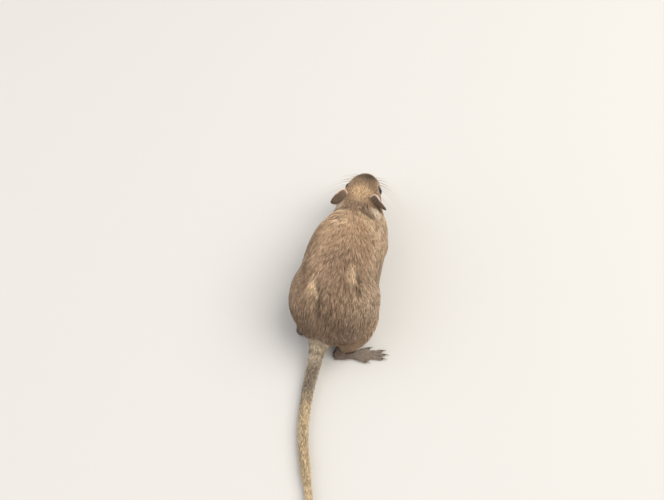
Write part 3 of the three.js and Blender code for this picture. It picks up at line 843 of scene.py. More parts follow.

# %% [markdown]
# The markings are painted in layers, as one would with a soft brush: a ground colour for the whole coat,
# then patches that fade at their edges, each with its place on the animal, its reach and its strength. A
# gerbil of this colour is agouti, tan with dark-tipped hair, darker over the rump, golden on the crown and
# cream beneath. A few layers are painted light and shade rather than markings: the right flank and
# shoulder are painted paler where the key lamp falls, and the left flank darker. Skin and hair both read
# these colours, so that a gap in the coat never shows a foreign colour.

# %% Paint the markings
GROUND = "#b4977b"
PATCHES = [  # colour, strength, (forward, left, up) of its middle and its reach that way, in millimetres
    ("#77614f", 0.9, (-2, 2, 24), (24, 40, 26)),  # rump
    ("#8d735e", 0.65, (26, -2, 46), (26, 13, 14)),  # middle of the back
    ("#bd9f80", 0.7, (56, 0, 44), (13, 16, 12)),  # shoulders
    # painted light: the right flank is painted paler where the key lamp falls on it
    ("#a99681", 0.75, (34, -24, 28), (40, 11, 18)),  # right flank
    # painted shade: the left flank is painted darker, away from the key lamp
    ("#8c7763", 0.75, (32, 24, 27), (36, 11, 20)),  # left flank
    ("#dcc0a0", 0.85, (16.5, 10.5, 38.5), (5.5, 3.4, 9)),  # over the left hip
    ("#dcc2a2", 0.85, (27.3, -9.3, 43), (5, 2.6, 8)),  # over the right hip
    # painted light: the right shoulder is painted paler where the key lamp falls on it
    ("#c2ac93", 0.7, (66, -20, 30), (16, 10, 14)),  # right shoulder
    ("#816956", 0.8, (80, -1, 40), (8, 13, 8)),  # nape
    ("#d6bd9c", 0.8, (60, 8, 44), (4.5, 6, 6)),  # rear fold of the neck, left
    ("#d0b998", 0.8, (71.5, 10.5, 37.5), (3, 7, 8)),  # front fold of the neck, left
    ("#d6bd9c", 0.75, (66.5, -11, 40), (3.2, 6.5, 8)),  # fold of the neck, right
    ("#d8bb95", 0.95, (94, -0.5, 36), (9, 8, 6)),  # crown
    ("#6f5f4e", 0.85, (115, 0.5, 30), (10, 8, 7)),  # snout
    ("#b89c86", 0.65, (108, 10, 27), (8, 4, 6)),  # beside the snout, left
    ("#b89c86", 0.65, (106, -9.5, 28), (8, 4, 6)),  # beside the snout, right
    ("#9a6f47", 0.6, (91, 8.5, 34), (3, 2.5, 3)),  # root of the left ear
    ("#9a6f47", 0.6, (91, -7, 36), (3, 2.5, 3)),  # root of the right ear
    ("#ded0bc", 0.95, (83, 14, 31), (6, 5.5, 7)),  # behind the left ear
    ("#d9cab5", 0.9, (80, -13, 34), (5, 4.5, 6)),  # behind the right ear
]
BELLY = "#e3d9c8"
HIND_FOOT_HAIR, FOREPAW_HAIR, HEEL_HAIR_AND_SHADE = "#85786d", "#b5a08b", "#74635a"
EYE_RING = "#cdb99a"


def painted(colours, colour, strength):
    """Colours with one more layer over them, as strong at each point as its strength says."""
    return colours + np.clip(strength, 0, 1)[:, None] * (linear(colour) - colours)


markings_and_shading = np.tile(linear(GROUND), (len(points), 1))
for colour, strength, middle, reach in PATCHES:
    away = (np.stack([forward, left, up], 1) - middle) / reach
    markings_and_shading = painted(markings_and_shading, colour, strength * np.exp(-((away**2).sum(1) ** 1.5)))
underside = ramp(-normals[:, 2], 0.05, 0.75) * (1 - is_tail)
cheek = on_head * ramp(-up, -23, -17)
cream = np.maximum(underside, 0.85 * cheek) * ramp(-up, -26, -16) * ramp(forward, 8, 26)
markings_and_shading = painted(markings_and_shading, BELLY, cream)
markings_and_shading = painted(markings_and_shading, HIND_FOOT_HAIR, is_foot)
markings_and_shading = painted(markings_and_shading, FOREPAW_HAIR, weight("forepaw"))
# The heels are painted darker: partly their darker hair, partly painted shade where the rump hangs over them.
for name in ("left_hind_foot", "right_hind_foot"):
    form, heel, points_to = FEET[name]
    along_foot = (points - heel) @ points_to / MM / form["length"]
    markings_and_shading = painted(markings_and_shading, HEEL_HAIR_AND_SHADE, 0.85 * weight(name) * ramp(-along_foot, -0.5, -0.25))
markings_and_shading = painted(markings_and_shading, EYE_RING, 0.75 * near(from_eye / MM - 1.6, 1.2) * on_head)
print("body and feet:", len(PATCHES), "patches and the layers for belly, feet and eyes")

# %% [markdown]
# The tail is pale round its root, dark along its top for the first third, straw-coloured from there on, and
# ends in a dark brush. Its colours depend on how far along it a point lies and on whether it faces up or
# down. The nose is bare and pinkish. Its nostrils and the cleft below it are painted dark, as painted shade
# in those hollows.

# %% Paint the tail and the nose
TAIL_ROOT, TAIL_TOP, TAIL_SIDE = "#ae9e86", "#7b6c5e", "#b8a996"
TAIL_STRAW, TAIL_BRUSH = "#c6b08c", "#463a30"
NOSE_SKIN, NOSTRIL_SHADE = "#b07f6f", "#3d2721"

top_line = ramp(normals[:, 2], 0.15, 0.85)
straw = ramp(tail_share, 0.3, 0.46)
markings_and_shading = painted(markings_and_shading, TAIL_SIDE, is_tail)
markings_and_shading = painted(markings_and_shading, TAIL_TOP, is_tail * top_line * 0.85 * ramp(tail_share, 0.14, 0.22))
markings_and_shading = painted(markings_and_shading, TAIL_STRAW, is_tail * straw * (1 - 0.25 * top_line))
markings_and_shading = painted(markings_and_shading, BELLY, is_tail * ramp(-normals[:, 2], 0.2, 0.8) * 0.7)
markings_and_shading = painted(markings_and_shading, TAIL_ROOT, 0.8 * near((tail_share - 0.12) / 0.05, 1) * is_tail)
markings_and_shading = painted(markings_and_shading, TAIL_BRUSH, ramp(tail_share, 0.86, 0.97) * is_tail)

off_nose = np.linalg.norm((points - NOSE) / MM, axis=1)
markings_and_shading = painted(markings_and_shading, NOSE_SKIN, near(off_nose, 2.2) * ramp(beyond, -2, -0.5))
# painted shade in the nostrils and in the cleft below the nose
markings_and_shading = painted(markings_and_shading, NOSTRIL_SHADE, np.maximum(0.9 * nostrils, 0.6 * cleft))
print("markings from", markings_and_shading.min(0).round(3), "to", markings_and_shading.max(0).round(3))

# %% [markdown]
# Where the coat bends over the hips it opens in short partings, and behind the ears it folds as the neck
# does. A parting is a line on the back: the hair leans away from it, lies lower along it and shows its dark
# roots, and the side that is turned up shows the pale shafts. The crease is painted darker, for those roots
# and as painted shade in the crease.

# %% Open the partings
PARTINGS = [  # start and end (forward, left), pale side (1 left, -1 right), strength, width in millimetres
    ((22, 8.6), (9.5, 3), 1, 0.9, 1.3),
    ((30, -10), (24, -13.8), 1, 0.9, 1.3),
    ((80, 15), (76, 4), 1, 0.9, 1.8),
    ((66, 13), (63, 4), 1, 0.6, 1.6),
    ((75, -3), (72, -13), 1, 0.9, 1.8),
]
PALE_SIDE = "#d8bd9c"
SHAFT = 3.2  # mm of the pale shafts that show
# share by which the crease is painted darker: its dark roots, and painted shade in the crease
CREASE_SHADE_AND_ROOTS = 0.55  # share of the light that the roots in the crease take away
FLATTER = 0.55  # share of the coat's rise that the crease takes away
LEANING = 0.9  # how strongly the hair leans away

backward_lie = lie.copy()
for start, end, pale_side, strength, width in PARTINGS:
    line = np.subtract(end, start)
    length = np.hypot(*line)
    along = ((forward - start[0]) * line[0] + (left - start[1]) * line[1]) / length
    across = ((left - start[1]) * line[0] - (forward - start[0]) * line[1]) / length * -pale_side
    within = ramp(along, -1.5, 2) * ramp(length - along, -1.5, 2) * ramp(up, 22, 30) * strength
    crease = near(across, width) * within
    pale = ramp(across, 0, 1) * near(np.maximum(across - 1, 0), SHAFT) * within
    markings_and_shading = painted(markings_and_shading, PALE_SIDE, 0.85 * pale)
    # painted shade and dark roots in the crease
    markings_and_shading *= 1 - CREASE_SHADE_AND_ROOTS * crease[:, None]
    away = heading(pale_side * line[1], -pale_side * line[0], 0)
    away = away - (backward_lie @ away)[:, None] * backward_lie
    lie = on_surface(lie + LEANING * (crease * np.sign(across))[:, None] * away, normals)
    coat["rise"] *= 1 - FLATTER * crease
print("partings:", len(PARTINGS))

# %% [markdown]
# Agouti hair is banded: dark slate at the root, a warm band above it, and on the longer guard hairs a dark
# tip. Keratin is smooth, but a coat is a crowd of thin fibres, and the crowd scatters light, so roughness
# is high and the gloss low. Every tuft carries its own numbers: its colour, how far along it a point lies,
# and how dark or pale its tip is. The material reads them, so that one material serves all tufts and no two
# look alike.
#
# A mix node takes its share at socket 0 and, when it mixes colours, the two of them at 6 and 7, and gives
# the mixed colour at output 2. Here it either covers one colour with another or multiplies the two, as a
# filter does.

# %% Agouti hair
HAIR_BANDS = [(0.0, 0.45), (0.3, 0.8), (0.62, 1.3), (1.0, 1.4)]  # share of the length, brightness there
DARK_TIP, PALE_TIP = "#5a4939", "#e4d3b8"
COVERED = {"data_type": "RGBA"}
MULTIPLIED = {"data_type": "RGBA", "blend_type": "MULTIPLY"}


def greys(stops):
    """Stops of a colour ramp that only brighten or darken."""
    return [(place, (value, value, value, 1.0)) for place, value in stops]


def agouti_hair():
    material = new_material("agouti hair keratin")
    names = ("markings_and_shading", "along", "dark_tip", "pale_tip")
    markings_and_shading, along, dark_tip, pale_tip = (
        node(material, "ShaderNodeAttribute", attribute_name=name).outputs for name in names
    )
    band = node(material, "ShaderNodeValToRGB", {"Fac": along["Fac"]}, ramp=greys(HAIR_BANDS)).outputs[0]
    colour = node(material, "ShaderNodeMix", {0: 1.0, 6: markings_and_shading["Color"], 7: band}, **MULTIPLIED).outputs[2]
    for share, tip in ((dark_tip, DARK_TIP), (pale_tip, PALE_TIP)):
        inputs = {0: share["Fac"], 6: colour, 7: rgba(tip)}
        colour = node(material, "ShaderNodeMix", inputs, **COVERED).outputs[2]
    shader = node(
        material,
        "ShaderNodeBsdfPrincipled",
        {"Base Color": colour, "Roughness": 0.62, "IOR": 1.55, "Specular IOR Level": 0.3},
    )
    return surfaced(material, shader)


hair = agouti_hair()
print("hair:", len(hair.node_tree.nodes), "nodes")

# %% [markdown]
# Under the coat the skin itself is seldom seen, but it fills the gaps between roots, and on nose, lips and
# soles it is bare. It is drawn as down would look from afar: the painted colour, with its markings and
# painted shading, darker where the roots are, with a fine bump as long and as wide as down lies. The nose
# is bare leather with tiny pebbles.

# %% Skin
DOWN = 0.5 * MM
PEBBLE = 0.3 * MM
DOWN_SHADES = [(0.3, 0.45), (0.7, 0.8)]  # the noise's value, brightness there
SOLE, LIP_AND_CREASE_SHADE = "#b58a7b", "#7d5a50"


def downy_skin():
    material = new_material("skin under down")
    markings_and_shading, bare = (
        node(material, "ShaderNodeAttribute", attribute_name=name).outputs for name in ("markings_and_shading", "bare")
    )
    down = node(material, "ShaderNodeTexNoise", {"Scale": 1 / DOWN, "Detail": 3.0}).outputs[0]
    pebbles = node(material, "ShaderNodeTexVoronoi", {"Scale": 1 / PEBBLE}).outputs["Distance"]
    height = node(material, "ShaderNodeMix", {0: bare["Fac"], 2: down, 3: pebbles}).outputs[0]
    bump = node(material, "ShaderNodeBump", {"Height": height, "Strength": 0.6, "Distance": 0.12 * MM})
    roots = node(material, "ShaderNodeValToRGB", {"Fac": down}, ramp=greys(DOWN_SHADES)).outputs[0]
    shade = node(material, "ShaderNodeMix", {0: bare["Fac"], 6: roots, 7: (1, 1, 1, 1)}, **COVERED).outputs[2]
    colour = node(material, "ShaderNodeMix", {0: 1.0, 6: markings_and_shading["Color"], 7: shade}, **MULTIPLIED).outputs[2]
    shader = node(
        material,
        "ShaderNodeBsdfPrincipled",
        {
            "Base Color": colour,
            "Roughness": 0.55,
            "IOR": 1.4,
            "Subsurface Weight": 0.15,
            "Subsurface Radius": (1.0 * MM, 0.4 * MM, 0.2 * MM),
            "Subsurface Scale": 1.0,
            "Normal": bump.outputs["Normal"],
        },
    )
    return surfaced(material, shader)


soles = ramp(-normals[:, 2], 0.5, 0.8) * ramp(-up, -2.2, -1.2) * is_foot
nose_leather = near(off_nose, 2.0) * ramp(beyond, -1.8, -0.4)
lip_line = near(lip_height, 0.45) * ramp(beyond, -MOUTH_LENGTH, -MOUTH_LENGTH + 3) * on_head
bare = np.clip(np.maximum.reduce([soles, 1.3 * nose_leather, lip_line]), 0, 1)
markings_and_shading = painted(markings_and_shading, SOLE, soles)
# The lip line is painted darker: bare lip skin, and painted shade in the mouth's crease.
markings_and_shading = painted(markings_and_shading, LIP_AND_CREASE_SHADE, 0.8 * lip_line)
attribute(skin.data, "markings_and_shading", markings_and_shading)
attribute(skin.data, "bare", bare)
skin.data.materials.clear()
skin.data.materials.append(downy_skin())
shade_smooth(skin.data)
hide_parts(*flesh_nodes, "tail_tip")
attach(skin, "root")
print("skin:", len(skin.data.polygons), "faces in place of", len(flesh_nodes) + 1, "solids")

# %% [markdown]
# Each tuft needs a place in a flat map, where an export bakes its colours. The skin is unwrapped, and every
# tuft gets a small patch of that map where it is rooted, so that neighbours on the animal stay neighbours
# there.

# %% Unwrap and measure the surface that hair grows on
SHARPEST = math.radians(66)  # a patch of the map ends where the surface bends more than this
ISLAND_MARGIN = 0.002
CROWD_FROM_EYE = (0.1, 0.3)  # mm from the eye's ball to the first hair and to the full crowd


def unwrap(piece):
    bpy.ops.object.select_all(action="DESELECT")
    piece.select_set(True)
    bpy.context.view_layer.objects.active = piece
    bpy.ops.object.mode_set(mode="EDIT")
    bpy.ops.mesh.select_all(action="SELECT")
    bpy.ops.uv.smart_project(angle_limit=SHARPEST, island_margin=ISLAND_MARGIN)
    bpy.ops.object.mode_set(mode="OBJECT")


def ground_of(piece, lie, coat, markings_and_shading):
    """All that hair has to know of the surface it grows from."""
    unwrap(piece)
    mesh = piece.data
    mesh.calc_loop_triangles()
    corners = read(mesh, mesh.loop_triangles, "loops", 3, np.int32)
    points = points_of(mesh)
    return {
        "points": points,
        "normals": normals_of(mesh),
        "triangles": read(mesh, mesh.loop_triangles, "vertices", 3, np.int32),
        "map": read(mesh, mesh.uv_layers.active.data, "uv", 2)[corners],
        "tree": tree_of(points),
        "lie": lie,
        "markings_and_shading": markings_and_shading,
        **coat,
    }


coat["crowd"] = coat["crowd"] * (1 - bare) * ramp(from_eye / MM, *CROWD_FROM_EYE)
ground = ground_of(skin, lie, coat, markings_and_shading)
print("map of", len(ground["triangles"]), "triangles")

# %% [markdown]
# A tuft is a few hairs that lie together, because single hairs would be millions. Each needs a root. A
# count that runs up over the triangles, by their area and by the crowd there, is cut into equal steps with
# one root in each, which spreads roots more evenly than plain chance does.

# %% Root the tufts
def tuft_roots(ground, where, draw):
    """Triangles and shares of their corners, as many to a square millimetre as the crowd says."""
    triangles = ground["triangles"][where]
    corners = ground["points"][triangles] / MM
    area = np.linalg.norm(np.cross(corners[:, 1] - corners[:, 0], corners[:, 2] - corners[:, 0]), axis=1) / 2
    wanted = np.cumsum(area * ground["crowd"][triangles].mean(1))
    count = int(wanted[-1])
    picks = np.searchsorted(wanted, (np.arange(count) + draw.random(count)) * wanted[-1] / count)
    return where[np.minimum(picks, len(where) - 1)], draw.dirichlet((1, 1, 1), count)


# %% [markdown]
# From its root a tuft rises to the coat's depth and then lies along the body over the roots of the next.
# All tufts of a region walk together, one step at a time, and look up the surface below them at every step.
# They lean towards the middle of their clump, which gives a coat its loose tips. Length, rise and tone
# differ a little from clump to clump and from tuft to tuft, and width from tuft to tuft alone. Each tuft
# takes the colour of the place where its tip comes to lie.

# %% Grow the tufts
SUNK = 0.2  # how far below the skin a root starts, in millimetres
OFF_FLOOR = 0.12 * MM  # the lowest that a tuft comes
STRAYING = 0.6  # how far tufts and clumps turn away from the lie
TO_MIDDLE = 0.35  # share of the way that a tip leans to the middle of its clump
HUGGING = 0.6  # how strongly a tuft turns into the lie that it passes over
SAME_SIDE = 0.4  # less alike than this, the next surface faces another way, and the tuft bridges the fold
RINGS = {  # share of the length, width there
    "long": [(0, 0.6), (0.3, 1.0), (0.68, 0.8)],
    "short": [(0, 0.7), (0.5, 1.0)],
}


def between(low, high, draws):
    """Numbers from low to high, one for each draw."""
    return low + (high - low) * draws


def mixed(ground, field, corners, shares):
    """What the surface says at places inside its triangles."""
    values = ground[field][corners]
    return (values * (shares if values.ndim == 2 else shares[..., None])).sum(1)


def tufts(ground, where, kind, clump_width, seed, guard, contrast, loose=False):
    """Paths, sizes and colours of tufts on the triangles given by where. Loose ones don't hug the surface."""
    draw = np.random.default_rng(seed)
    picks, shares = tuft_roots(ground, where, draw)
    corners = ground["triangles"][picks]
    root, normal, lie, rise, length, width, lock = (
        mixed(ground, field, corners, shares)
        for field in ("points", "normals", "lie", "rise", "length", "width", "lock")
    )
    count = len(root)
    middles = root[:: max(1, int(clump_width**2 * np.median(ground["crowd"][corners])))]
    clump_tree = tree_of(middles)
    clump = np.array([clump_tree.find(p)[1] for p in root])
    clump_draw = draw.random((len(middles), 3))[clump]
    own = draw.random((count, 4))
    is_guard = own[:, 0] < guard * (1 - 1.3 * lock)
    length = length * between(0.78, 1.18, own[:, 1]) * between(0.9, 1.1, clump_draw[:, 0])
    length = length * np.where(is_guard, 1.2, 1)
    rise = rise * between(0.55, 1.15, own[:, 2]) * between(0.85, 1.15, clump_draw[:, 1])
    rise = rise * np.where(is_guard, 1.1, 1)
    yaw = STRAYING * (0.45 * (clump_draw[:, 2] - 0.5) + 0.35 * (own[:, 3] - 0.5))
    direction = on_surface(lie + yaw[:, None] * np.cross(normal, lie), normal)
    to_middle = TO_MIDDLE * (middles[clump] - root)
    to_middle -= (to_middle * normal).sum(1, keepdims=True) * normal

    stops = [place for place, _ in RINGS[kind]] + [1.0]
    position, up = root, normal
    path = [root - SUNK * MM * normal]
    for before, stop in zip(stops, stops[1:]):
        position = position + direction * ((stop - before) * length * MM)[:, None]
        found = np.array([ground["tree"].find(p)[1] for p in position])
        hugs = ((ground["normals"][found] * up).sum(1) > SAME_SIDE) & (not loose)
        up = np.where(hugs[:, None], ground["normals"][found], up)
        over = ((position - ground["points"][found]) * up).sum(1) * hugs
        position = position - over[:, None] * up
        direction = on_surface(direction + HUGGING * hugs[:, None] * ground["lie"][found], up)
        height = np.where(hugs, np.minimum(rise, 1.1 * ground["rise"][found]), rise) * stop * (2 - stop)
        path.append(position + height[:, None] * MM * up + stop**2 * to_middle)
    path = np.stack(path, 1)
    path[..., 2] = np.maximum(path[..., 2], OFF_FLOOR)
    tone = (1 + contrast * lock) * between(0.94, 1.06, clump_draw[:, 0]) * between(0.94, 1.06, own[:, 2])
    return {
        "path": path,
        "normal": normal,
        "width": width * between(0.8, 1.2, own[:, 1]) * MM,
        "colour": ground["markings_and_shading"][found] * tone[:, None],
        "dark": np.where(is_guard, 0.5, 0) + 0.15 * own[:, 3],
        "pale": np.where(own[:, 3] > 0.8 - 0.3 * lock, 0.45, 0.0),
        "roll": 1.4 * (own[:, 1] - 0.5),
        "map": (ground["map"][picks] * shares[..., None]).sum(1),
    }


# %% [markdown]
# Each path becomes a thin closed blade with three sides that ends in a point: two edges low on either side
# and a ridge between them. A flat strip would cost half as much, but it vanishes when it is seen from its
# edge, and an exported model has to be solid. The blades of one region are one mesh, because thousands of
# objects are slow.

# %% Turn paths into blades
EDGES_LOW, RIDGE_HIGH = 0.3, 0.5  # below and above the path, as shares of half the width
PATCH = 0.003  # how wide a tuft's place in the flat map is


def blades(name, grown, kind, material):
    """One piece of the coat, with a blade for every path."""
    path, count = grown["path"], len(grown["path"])
    stops, widths = (np.array(column, float) for column in zip(*RINGS[kind]))
    rings = len(stops)
    along = unit(np.gradient(path, axis=1))
    side = unit(np.cross(along, grown["normal"][:, None]))
    rise = np.cross(side, along)
    turn = grown["roll"][:, None, None]
    side, rise = side * np.cos(turn) + rise * np.sin(turn), rise * np.cos(turn) - side * np.sin(turn)
    half = grown["width"][:, None, None] * widths[:, None] / 2
    middle, side, rise = path[:, :rings], side[:, :rings] * half, rise[:, :rings] * half
    low, high = middle - EDGES_LOW * rise, middle + RIDGE_HIGH * rise
    ring_points = np.stack([low - side, low + side, high], 2)
    points = np.concatenate([ring_points.reshape(count, -1, 3), path[:, -1:]], 1)
    faces = [(0, 1, 2)]
    for ring in range(rings - 1):
        for a, b in ((0, 1), (1, 2), (2, 0)):
            a, b = a + 3 * ring, b + 3 * ring
            faces += [(b, a, a + 3), (b, a + 3, b + 3)]
    faces += [(b + 3 * rings - 3, a + 3 * rings - 3, 3 * rings) for a, b in ((0, 1), (1, 2), (2, 0))]
    each = 3 * rings + 1  # points of one blade
    faces = (np.array(faces)[None] + each * np.arange(count)[:, None, None]).reshape(-1, 3)
    piece = object_from(name, points.reshape(-1, 3), faces, material)
    reach = np.r_[np.repeat(stops, 3), 1.0]
    tip = np.clip((reach - 0.5) / 0.5, 0, 1)
    attribute(piece.data, "markings_and_shading", np.repeat(grown["colour"], each, 0))
    attribute(piece.data, "along", np.tile(reach, count))
    attribute(piece.data, "dark_tip", (grown["dark"][:, None] * tip).ravel())
    attribute(piece.data, "pale_tip", (grown["pale"][:, None] * tip).ravel())
    place = np.stack([np.r_[np.tile([0, 1, 0.5], rings), 0.5], reach], 1) - 0.5
    flat = np.clip(grown["map"][:, None] + PATCH * place, 0, 1).reshape(-1, 2)
    layer = piece.data.uv_layers.new(name="OFBake")
    layer.data.foreach_set("uv", flat[faces.ravel()].astype(np.float32).ravel())
    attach(piece, "root")
    return piece


# %% [markdown]
# A piece of the coat stays under two hundred thousand triangles, so the coat is grown region by region, and
# a large region in lengths from front to back. Long hair takes blades with two bends and short hair one.
# The brush at the tail's end stands free, and all other hair hugs the body.

# %% The coat on body, head, legs and tail
GUARD_HAIRS, TAIL_GUARD_HAIRS = 0.1, 0.02  # share of the tufts that are longer and have a dark tip
FIRST_SEED = 10
COAT_PIECES = [  # regions, how many lengths, kind, clump width in mm, contrast of its locks, slot
    (("torso",), 4, "long", 1.7, 0.15, "body_coat"),
    (("neck",), 1, "long", 1.6, 0.15, "body_coat"),
    (("hind_leg",), 2, "long", 1.7, 0.15, "body_coat"),
    (("head",), 2, "short", 1.0, 0.15, "head_coat"),
    (("foreleg", "forepaw"), 1, "short", 1.2, 0.1, "foot"),
    (("hind_foot",), 1, "short", 0.8, 0.1, "foot"),
    (("tail_base", "tail_middle"), 1, "short", 0.8, 0.22, "tail_coat"),
    (("tail_tip",), 1, "long", 1.6, 0.22, "tail_coat"),
]


def region_triangles(names):
    chosen = [i for i, region in enumerate(REGIONS) if region.endswith(names)]
    where = np.flatnonzero(np.isin(region_of[ground["triangles"][:, 0]], chosen))
    return where[np.argsort(ground["points"][ground["triangles"][where, 0], 1], kind="stable")]


total = 0
for names, lengths, kind, clump_width, contrast, slot in COAT_PIECES:
    guard = TAIL_GUARD_HAIRS if slot == "tail_coat" else GUARD_HAIRS
    loose = names[0] == "tail_tip"
    for i, part in enumerate(np.array_split(region_triangles(names), lengths)):
        grown = tufts(ground, part, kind, clump_width, FIRST_SEED + i, guard, contrast, loose)
        piece = blades(f"coat_{names[0]}_{i + 1}", grown, kind, hair)
        total += len(piece.data.polygons)
        print(piece.name, len(grown["path"]), "tufts,", len(piece.data.polygons), "triangles")
print("coat:", total, "triangles")

# %% [markdown]
# A gerbil's eye is a ball that stands well out of the head, so dark that iris and pupil read as one. What
# makes it live is the wet film over it: a clear smooth layer with the index of water that mirrors the lamps
# as small sharp lights. A sphere is enough for its form.

# %% Eyes
WATER_IOR = 1.34
EYE_FLECKS = 0.8 * MM
EYE_DARK, EYE_BROWN = "#080505", "#170f0b"


def wet_dark_eye():
    material = new_material("wet dark eye")
    flecks = node(material, "ShaderNodeTexNoise", {"Scale": 1 / EYE_FLECKS, "Detail": 2.0}).outputs[0]
    browns = [(0.35, rgba(EYE_DARK)), (0.7, rgba(EYE_BROWN))]
    iris = node(material, "ShaderNodeValToRGB", {"Fac": flecks}, ramp=browns).outputs[0]
    shader = node(
        material,
        "ShaderNodeBsdfPrincipled",
        {
            "Base Color": iris,
            "Roughness": 0.25,
            "IOR": 1.4,
            "Specular IOR Level": 0.1,  # the film hides the gloss below it
            "Coat Weight": 1.0,
            "Coat Roughness": 0.03,
            "Coat IOR": WATER_IOR,
        },
    )
    return surfaced(material, shader)


def ball(radius, across=48, around=64):
    """A sphere's points and triangles."""
    polar = np.linspace(0, np.pi, across + 1)[1:-1]
    turn = np.linspace(0, 2 * np.pi, around, endpoint=False)
    x, y = np.outer(np.sin(polar), np.cos(turn)), np.outer(np.sin(polar), np.sin(turn))
    z = np.outer(np.cos(polar), np.ones(around))
    rings = np.stack([x, y, z], 2).reshape(-1, 3)
    points = np.vstack([rings, [[0, 0, 1], [0, 0, -1]]]) * radius
    ring = np.arange(around)
    following = np.roll(ring, -1)
    last = (across - 2) * around
    faces = [
        np.stack([ring, following, np.full(around, len(rings))], 1),
        ring_faces(across - 1, around)[:, ::-1],
        np.stack([last + following, last + ring, np.full(around, len(rings) + 1)], 1),
    ]
    return points, np.vstack(faces)


eye_material = wet_dark_eye()
for side, middle in eyes.items():
    eye_points, eye_faces = ball(EYE_RADIUS)
    eye = object_from(f"{side}_eyeball", eye_points + middle, eye_faces, eye_material)
    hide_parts(f"{side}_eye")
    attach(eye, "root")
print("eyes", 2 * EYE_RADIUS / MM, "mm wide")

# %% [markdown]
# The lids are dark bare bands that hold the ball, thin and with a round edge. Lid skin is fine leather,
# nearly black and a little moist, so it shines more than the body's skin. A cut sphere would do for a lid
# that is seen from afar, but its edge would be sharp, and the round edge is what catches the light.

# %% Lid skin and the form of a lid
LID_THICKNESS = 0.32  # mm
LID_BROWN, LID_PIT_SHADE = "#372a24", "#211815"
LID_GRAIN = 0.25 * MM


def band_round_ball(around, outward, inner, outer, sides=12):
    """A closed band on the eye's ball. around gives directions, inner and outer the angles of its edges."""
    turn = np.linspace(0, 2 * np.pi, sides, endpoint=False)
    polar = (inner + outer)[:, None] / 2 + (outer - inner)[:, None] / 2 * np.cos(turn)
    distance = EYE_RADIUS + LID_THICKNESS * MM * (0.35 + 0.5 * np.sin(turn))
    points = np.sin(polar)[..., None] * around[:, None] + np.cos(polar)[..., None] * outward
    points = points * distance[:, None]
    faces = ring_faces(len(around) + 1, sides) % (len(around) * sides)  # the last ring meets the first
    return points.reshape(-1, 3), faces


def dark_lid_skin():
    material = new_material("dark lid skin")
    pebbles = node(material, "ShaderNodeTexVoronoi", {"Scale": 1 / LID_GRAIN}).outputs["Distance"]
    bump = node(material, "ShaderNodeBump", {"Height": pebbles, "Strength": 0.5, "Distance": 0.1 * MM})
    # painted shade: the lid is darker in the pits of its grain, where the bump sinks
    browns = [(0.0, rgba(LID_PIT_SHADE)), (0.6, rgba(LID_BROWN))]
    tone = node(material, "ShaderNodeValToRGB", {"Fac": pebbles}, ramp=browns)
    shader = node(
        material,
        "ShaderNodeBsdfPrincipled",
        {"Base Color": tone.outputs[0], "Roughness": 0.45, "IOR": 1.4, "Normal": bump.outputs["Normal"]},
    )
    return surfaced(material, shader)


lid_skin = dark_lid_skin()
print("lid skin:", len(lid_skin.node_tree.nodes), "nodes")

# %% [markdown]
# Where the lids run isn't guessed: all round the eye, the skin point nearest to its front tells how far the
# skin reaches over the ball. From there a lid goes a few degrees further over the ball, more above and
# below than at the corners, and leaves an almond open. Below the skin it goes on a little, so that no gap
# shows.

# %% Lay the lids round the eyes
LID_POINTS = 72
LID_OVER = 3  # degrees that the lids reach past the skin's edge
LID_UNDER = 12  # degrees that they go on below the skin
ALMOND = 6  # degrees that the upper and lower lid close further than the corners
LID_SKIN_FROM, LID_SKIN_TO = EYE_RADIUS + 0.05 * MM, 4.6 * MM  # how far from the eye's middle skin counts
LID_REACH = 0.2  # radians to each side in which a lid looks for the skin's edge
LID_EVENING = 5  # places to each side over which the edge is evened out

for side, middle in eyes.items():
    sign = 1 if side == "left" else -1
    outward = unit(sign * ASIDE + 0.25 * AHEAD + np.array([0, 0, 0.35]))
    front = unit(AHEAD - (AHEAD @ outward) * outward)
    upper = np.cross(outward, front) * sign
    from_middle = np.linalg.norm(points - middle, axis=1)
    close = points[(from_middle > LID_SKIN_FROM) & (from_middle < LID_SKIN_TO)]
    away = unit(close - middle)
    polar = np.arccos(np.clip(away @ outward, -1, 1))
    around = np.arctan2(away @ upper, away @ front)
    turn = np.linspace(-np.pi, np.pi, LID_POINTS, endpoint=False)
    apart = np.abs((around - turn[:, None] + np.pi) % (2 * np.pi) - np.pi)
    rim = np.where(apart < LID_REACH, polar, np.inf).min(1)
    rim = np.mean([np.roll(rim, i) for i in range(-LID_EVENING, LID_EVENING + 1)], 0)
    opening = rim - math.radians(LID_OVER) - math.radians(ALMOND) * np.abs(np.sin(turn)) ** 1.5
    directions = np.cos(turn)[:, None] * front + np.sin(turn)[:, None] * upper
    lid_points, lid_faces = band_round_ball(directions, outward, opening, rim + math.radians(LID_UNDER))
    lid = object_from(f"{side}_eyelids", lid_points + middle, lid_faces, lid_skin)
    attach(lid, "root")
    print(side, "lids open", np.degrees(opening).round().astype(int)[::9], "degrees from the middle")

# %% [markdown]
# The outer ear is a thin leaf, furred behind, nearly bare inside, and thin enough for light to come
# through. Its skin is fine leather with small veins under it. Light that enters it is scattered and comes
# out again a little redder, which subsurface scattering does over about a millimetre. On the back, towards
# its front, a pinkish glow of that light is painted on as well.

# %% Thin ear skin
EAR_VEINS, EAR_GRAIN = 1.6 * MM, 0.35 * MM
VEIN_SHADES = [(0.38, 0.78), (0.62, 1.08)]  # the noise's value, brightness there


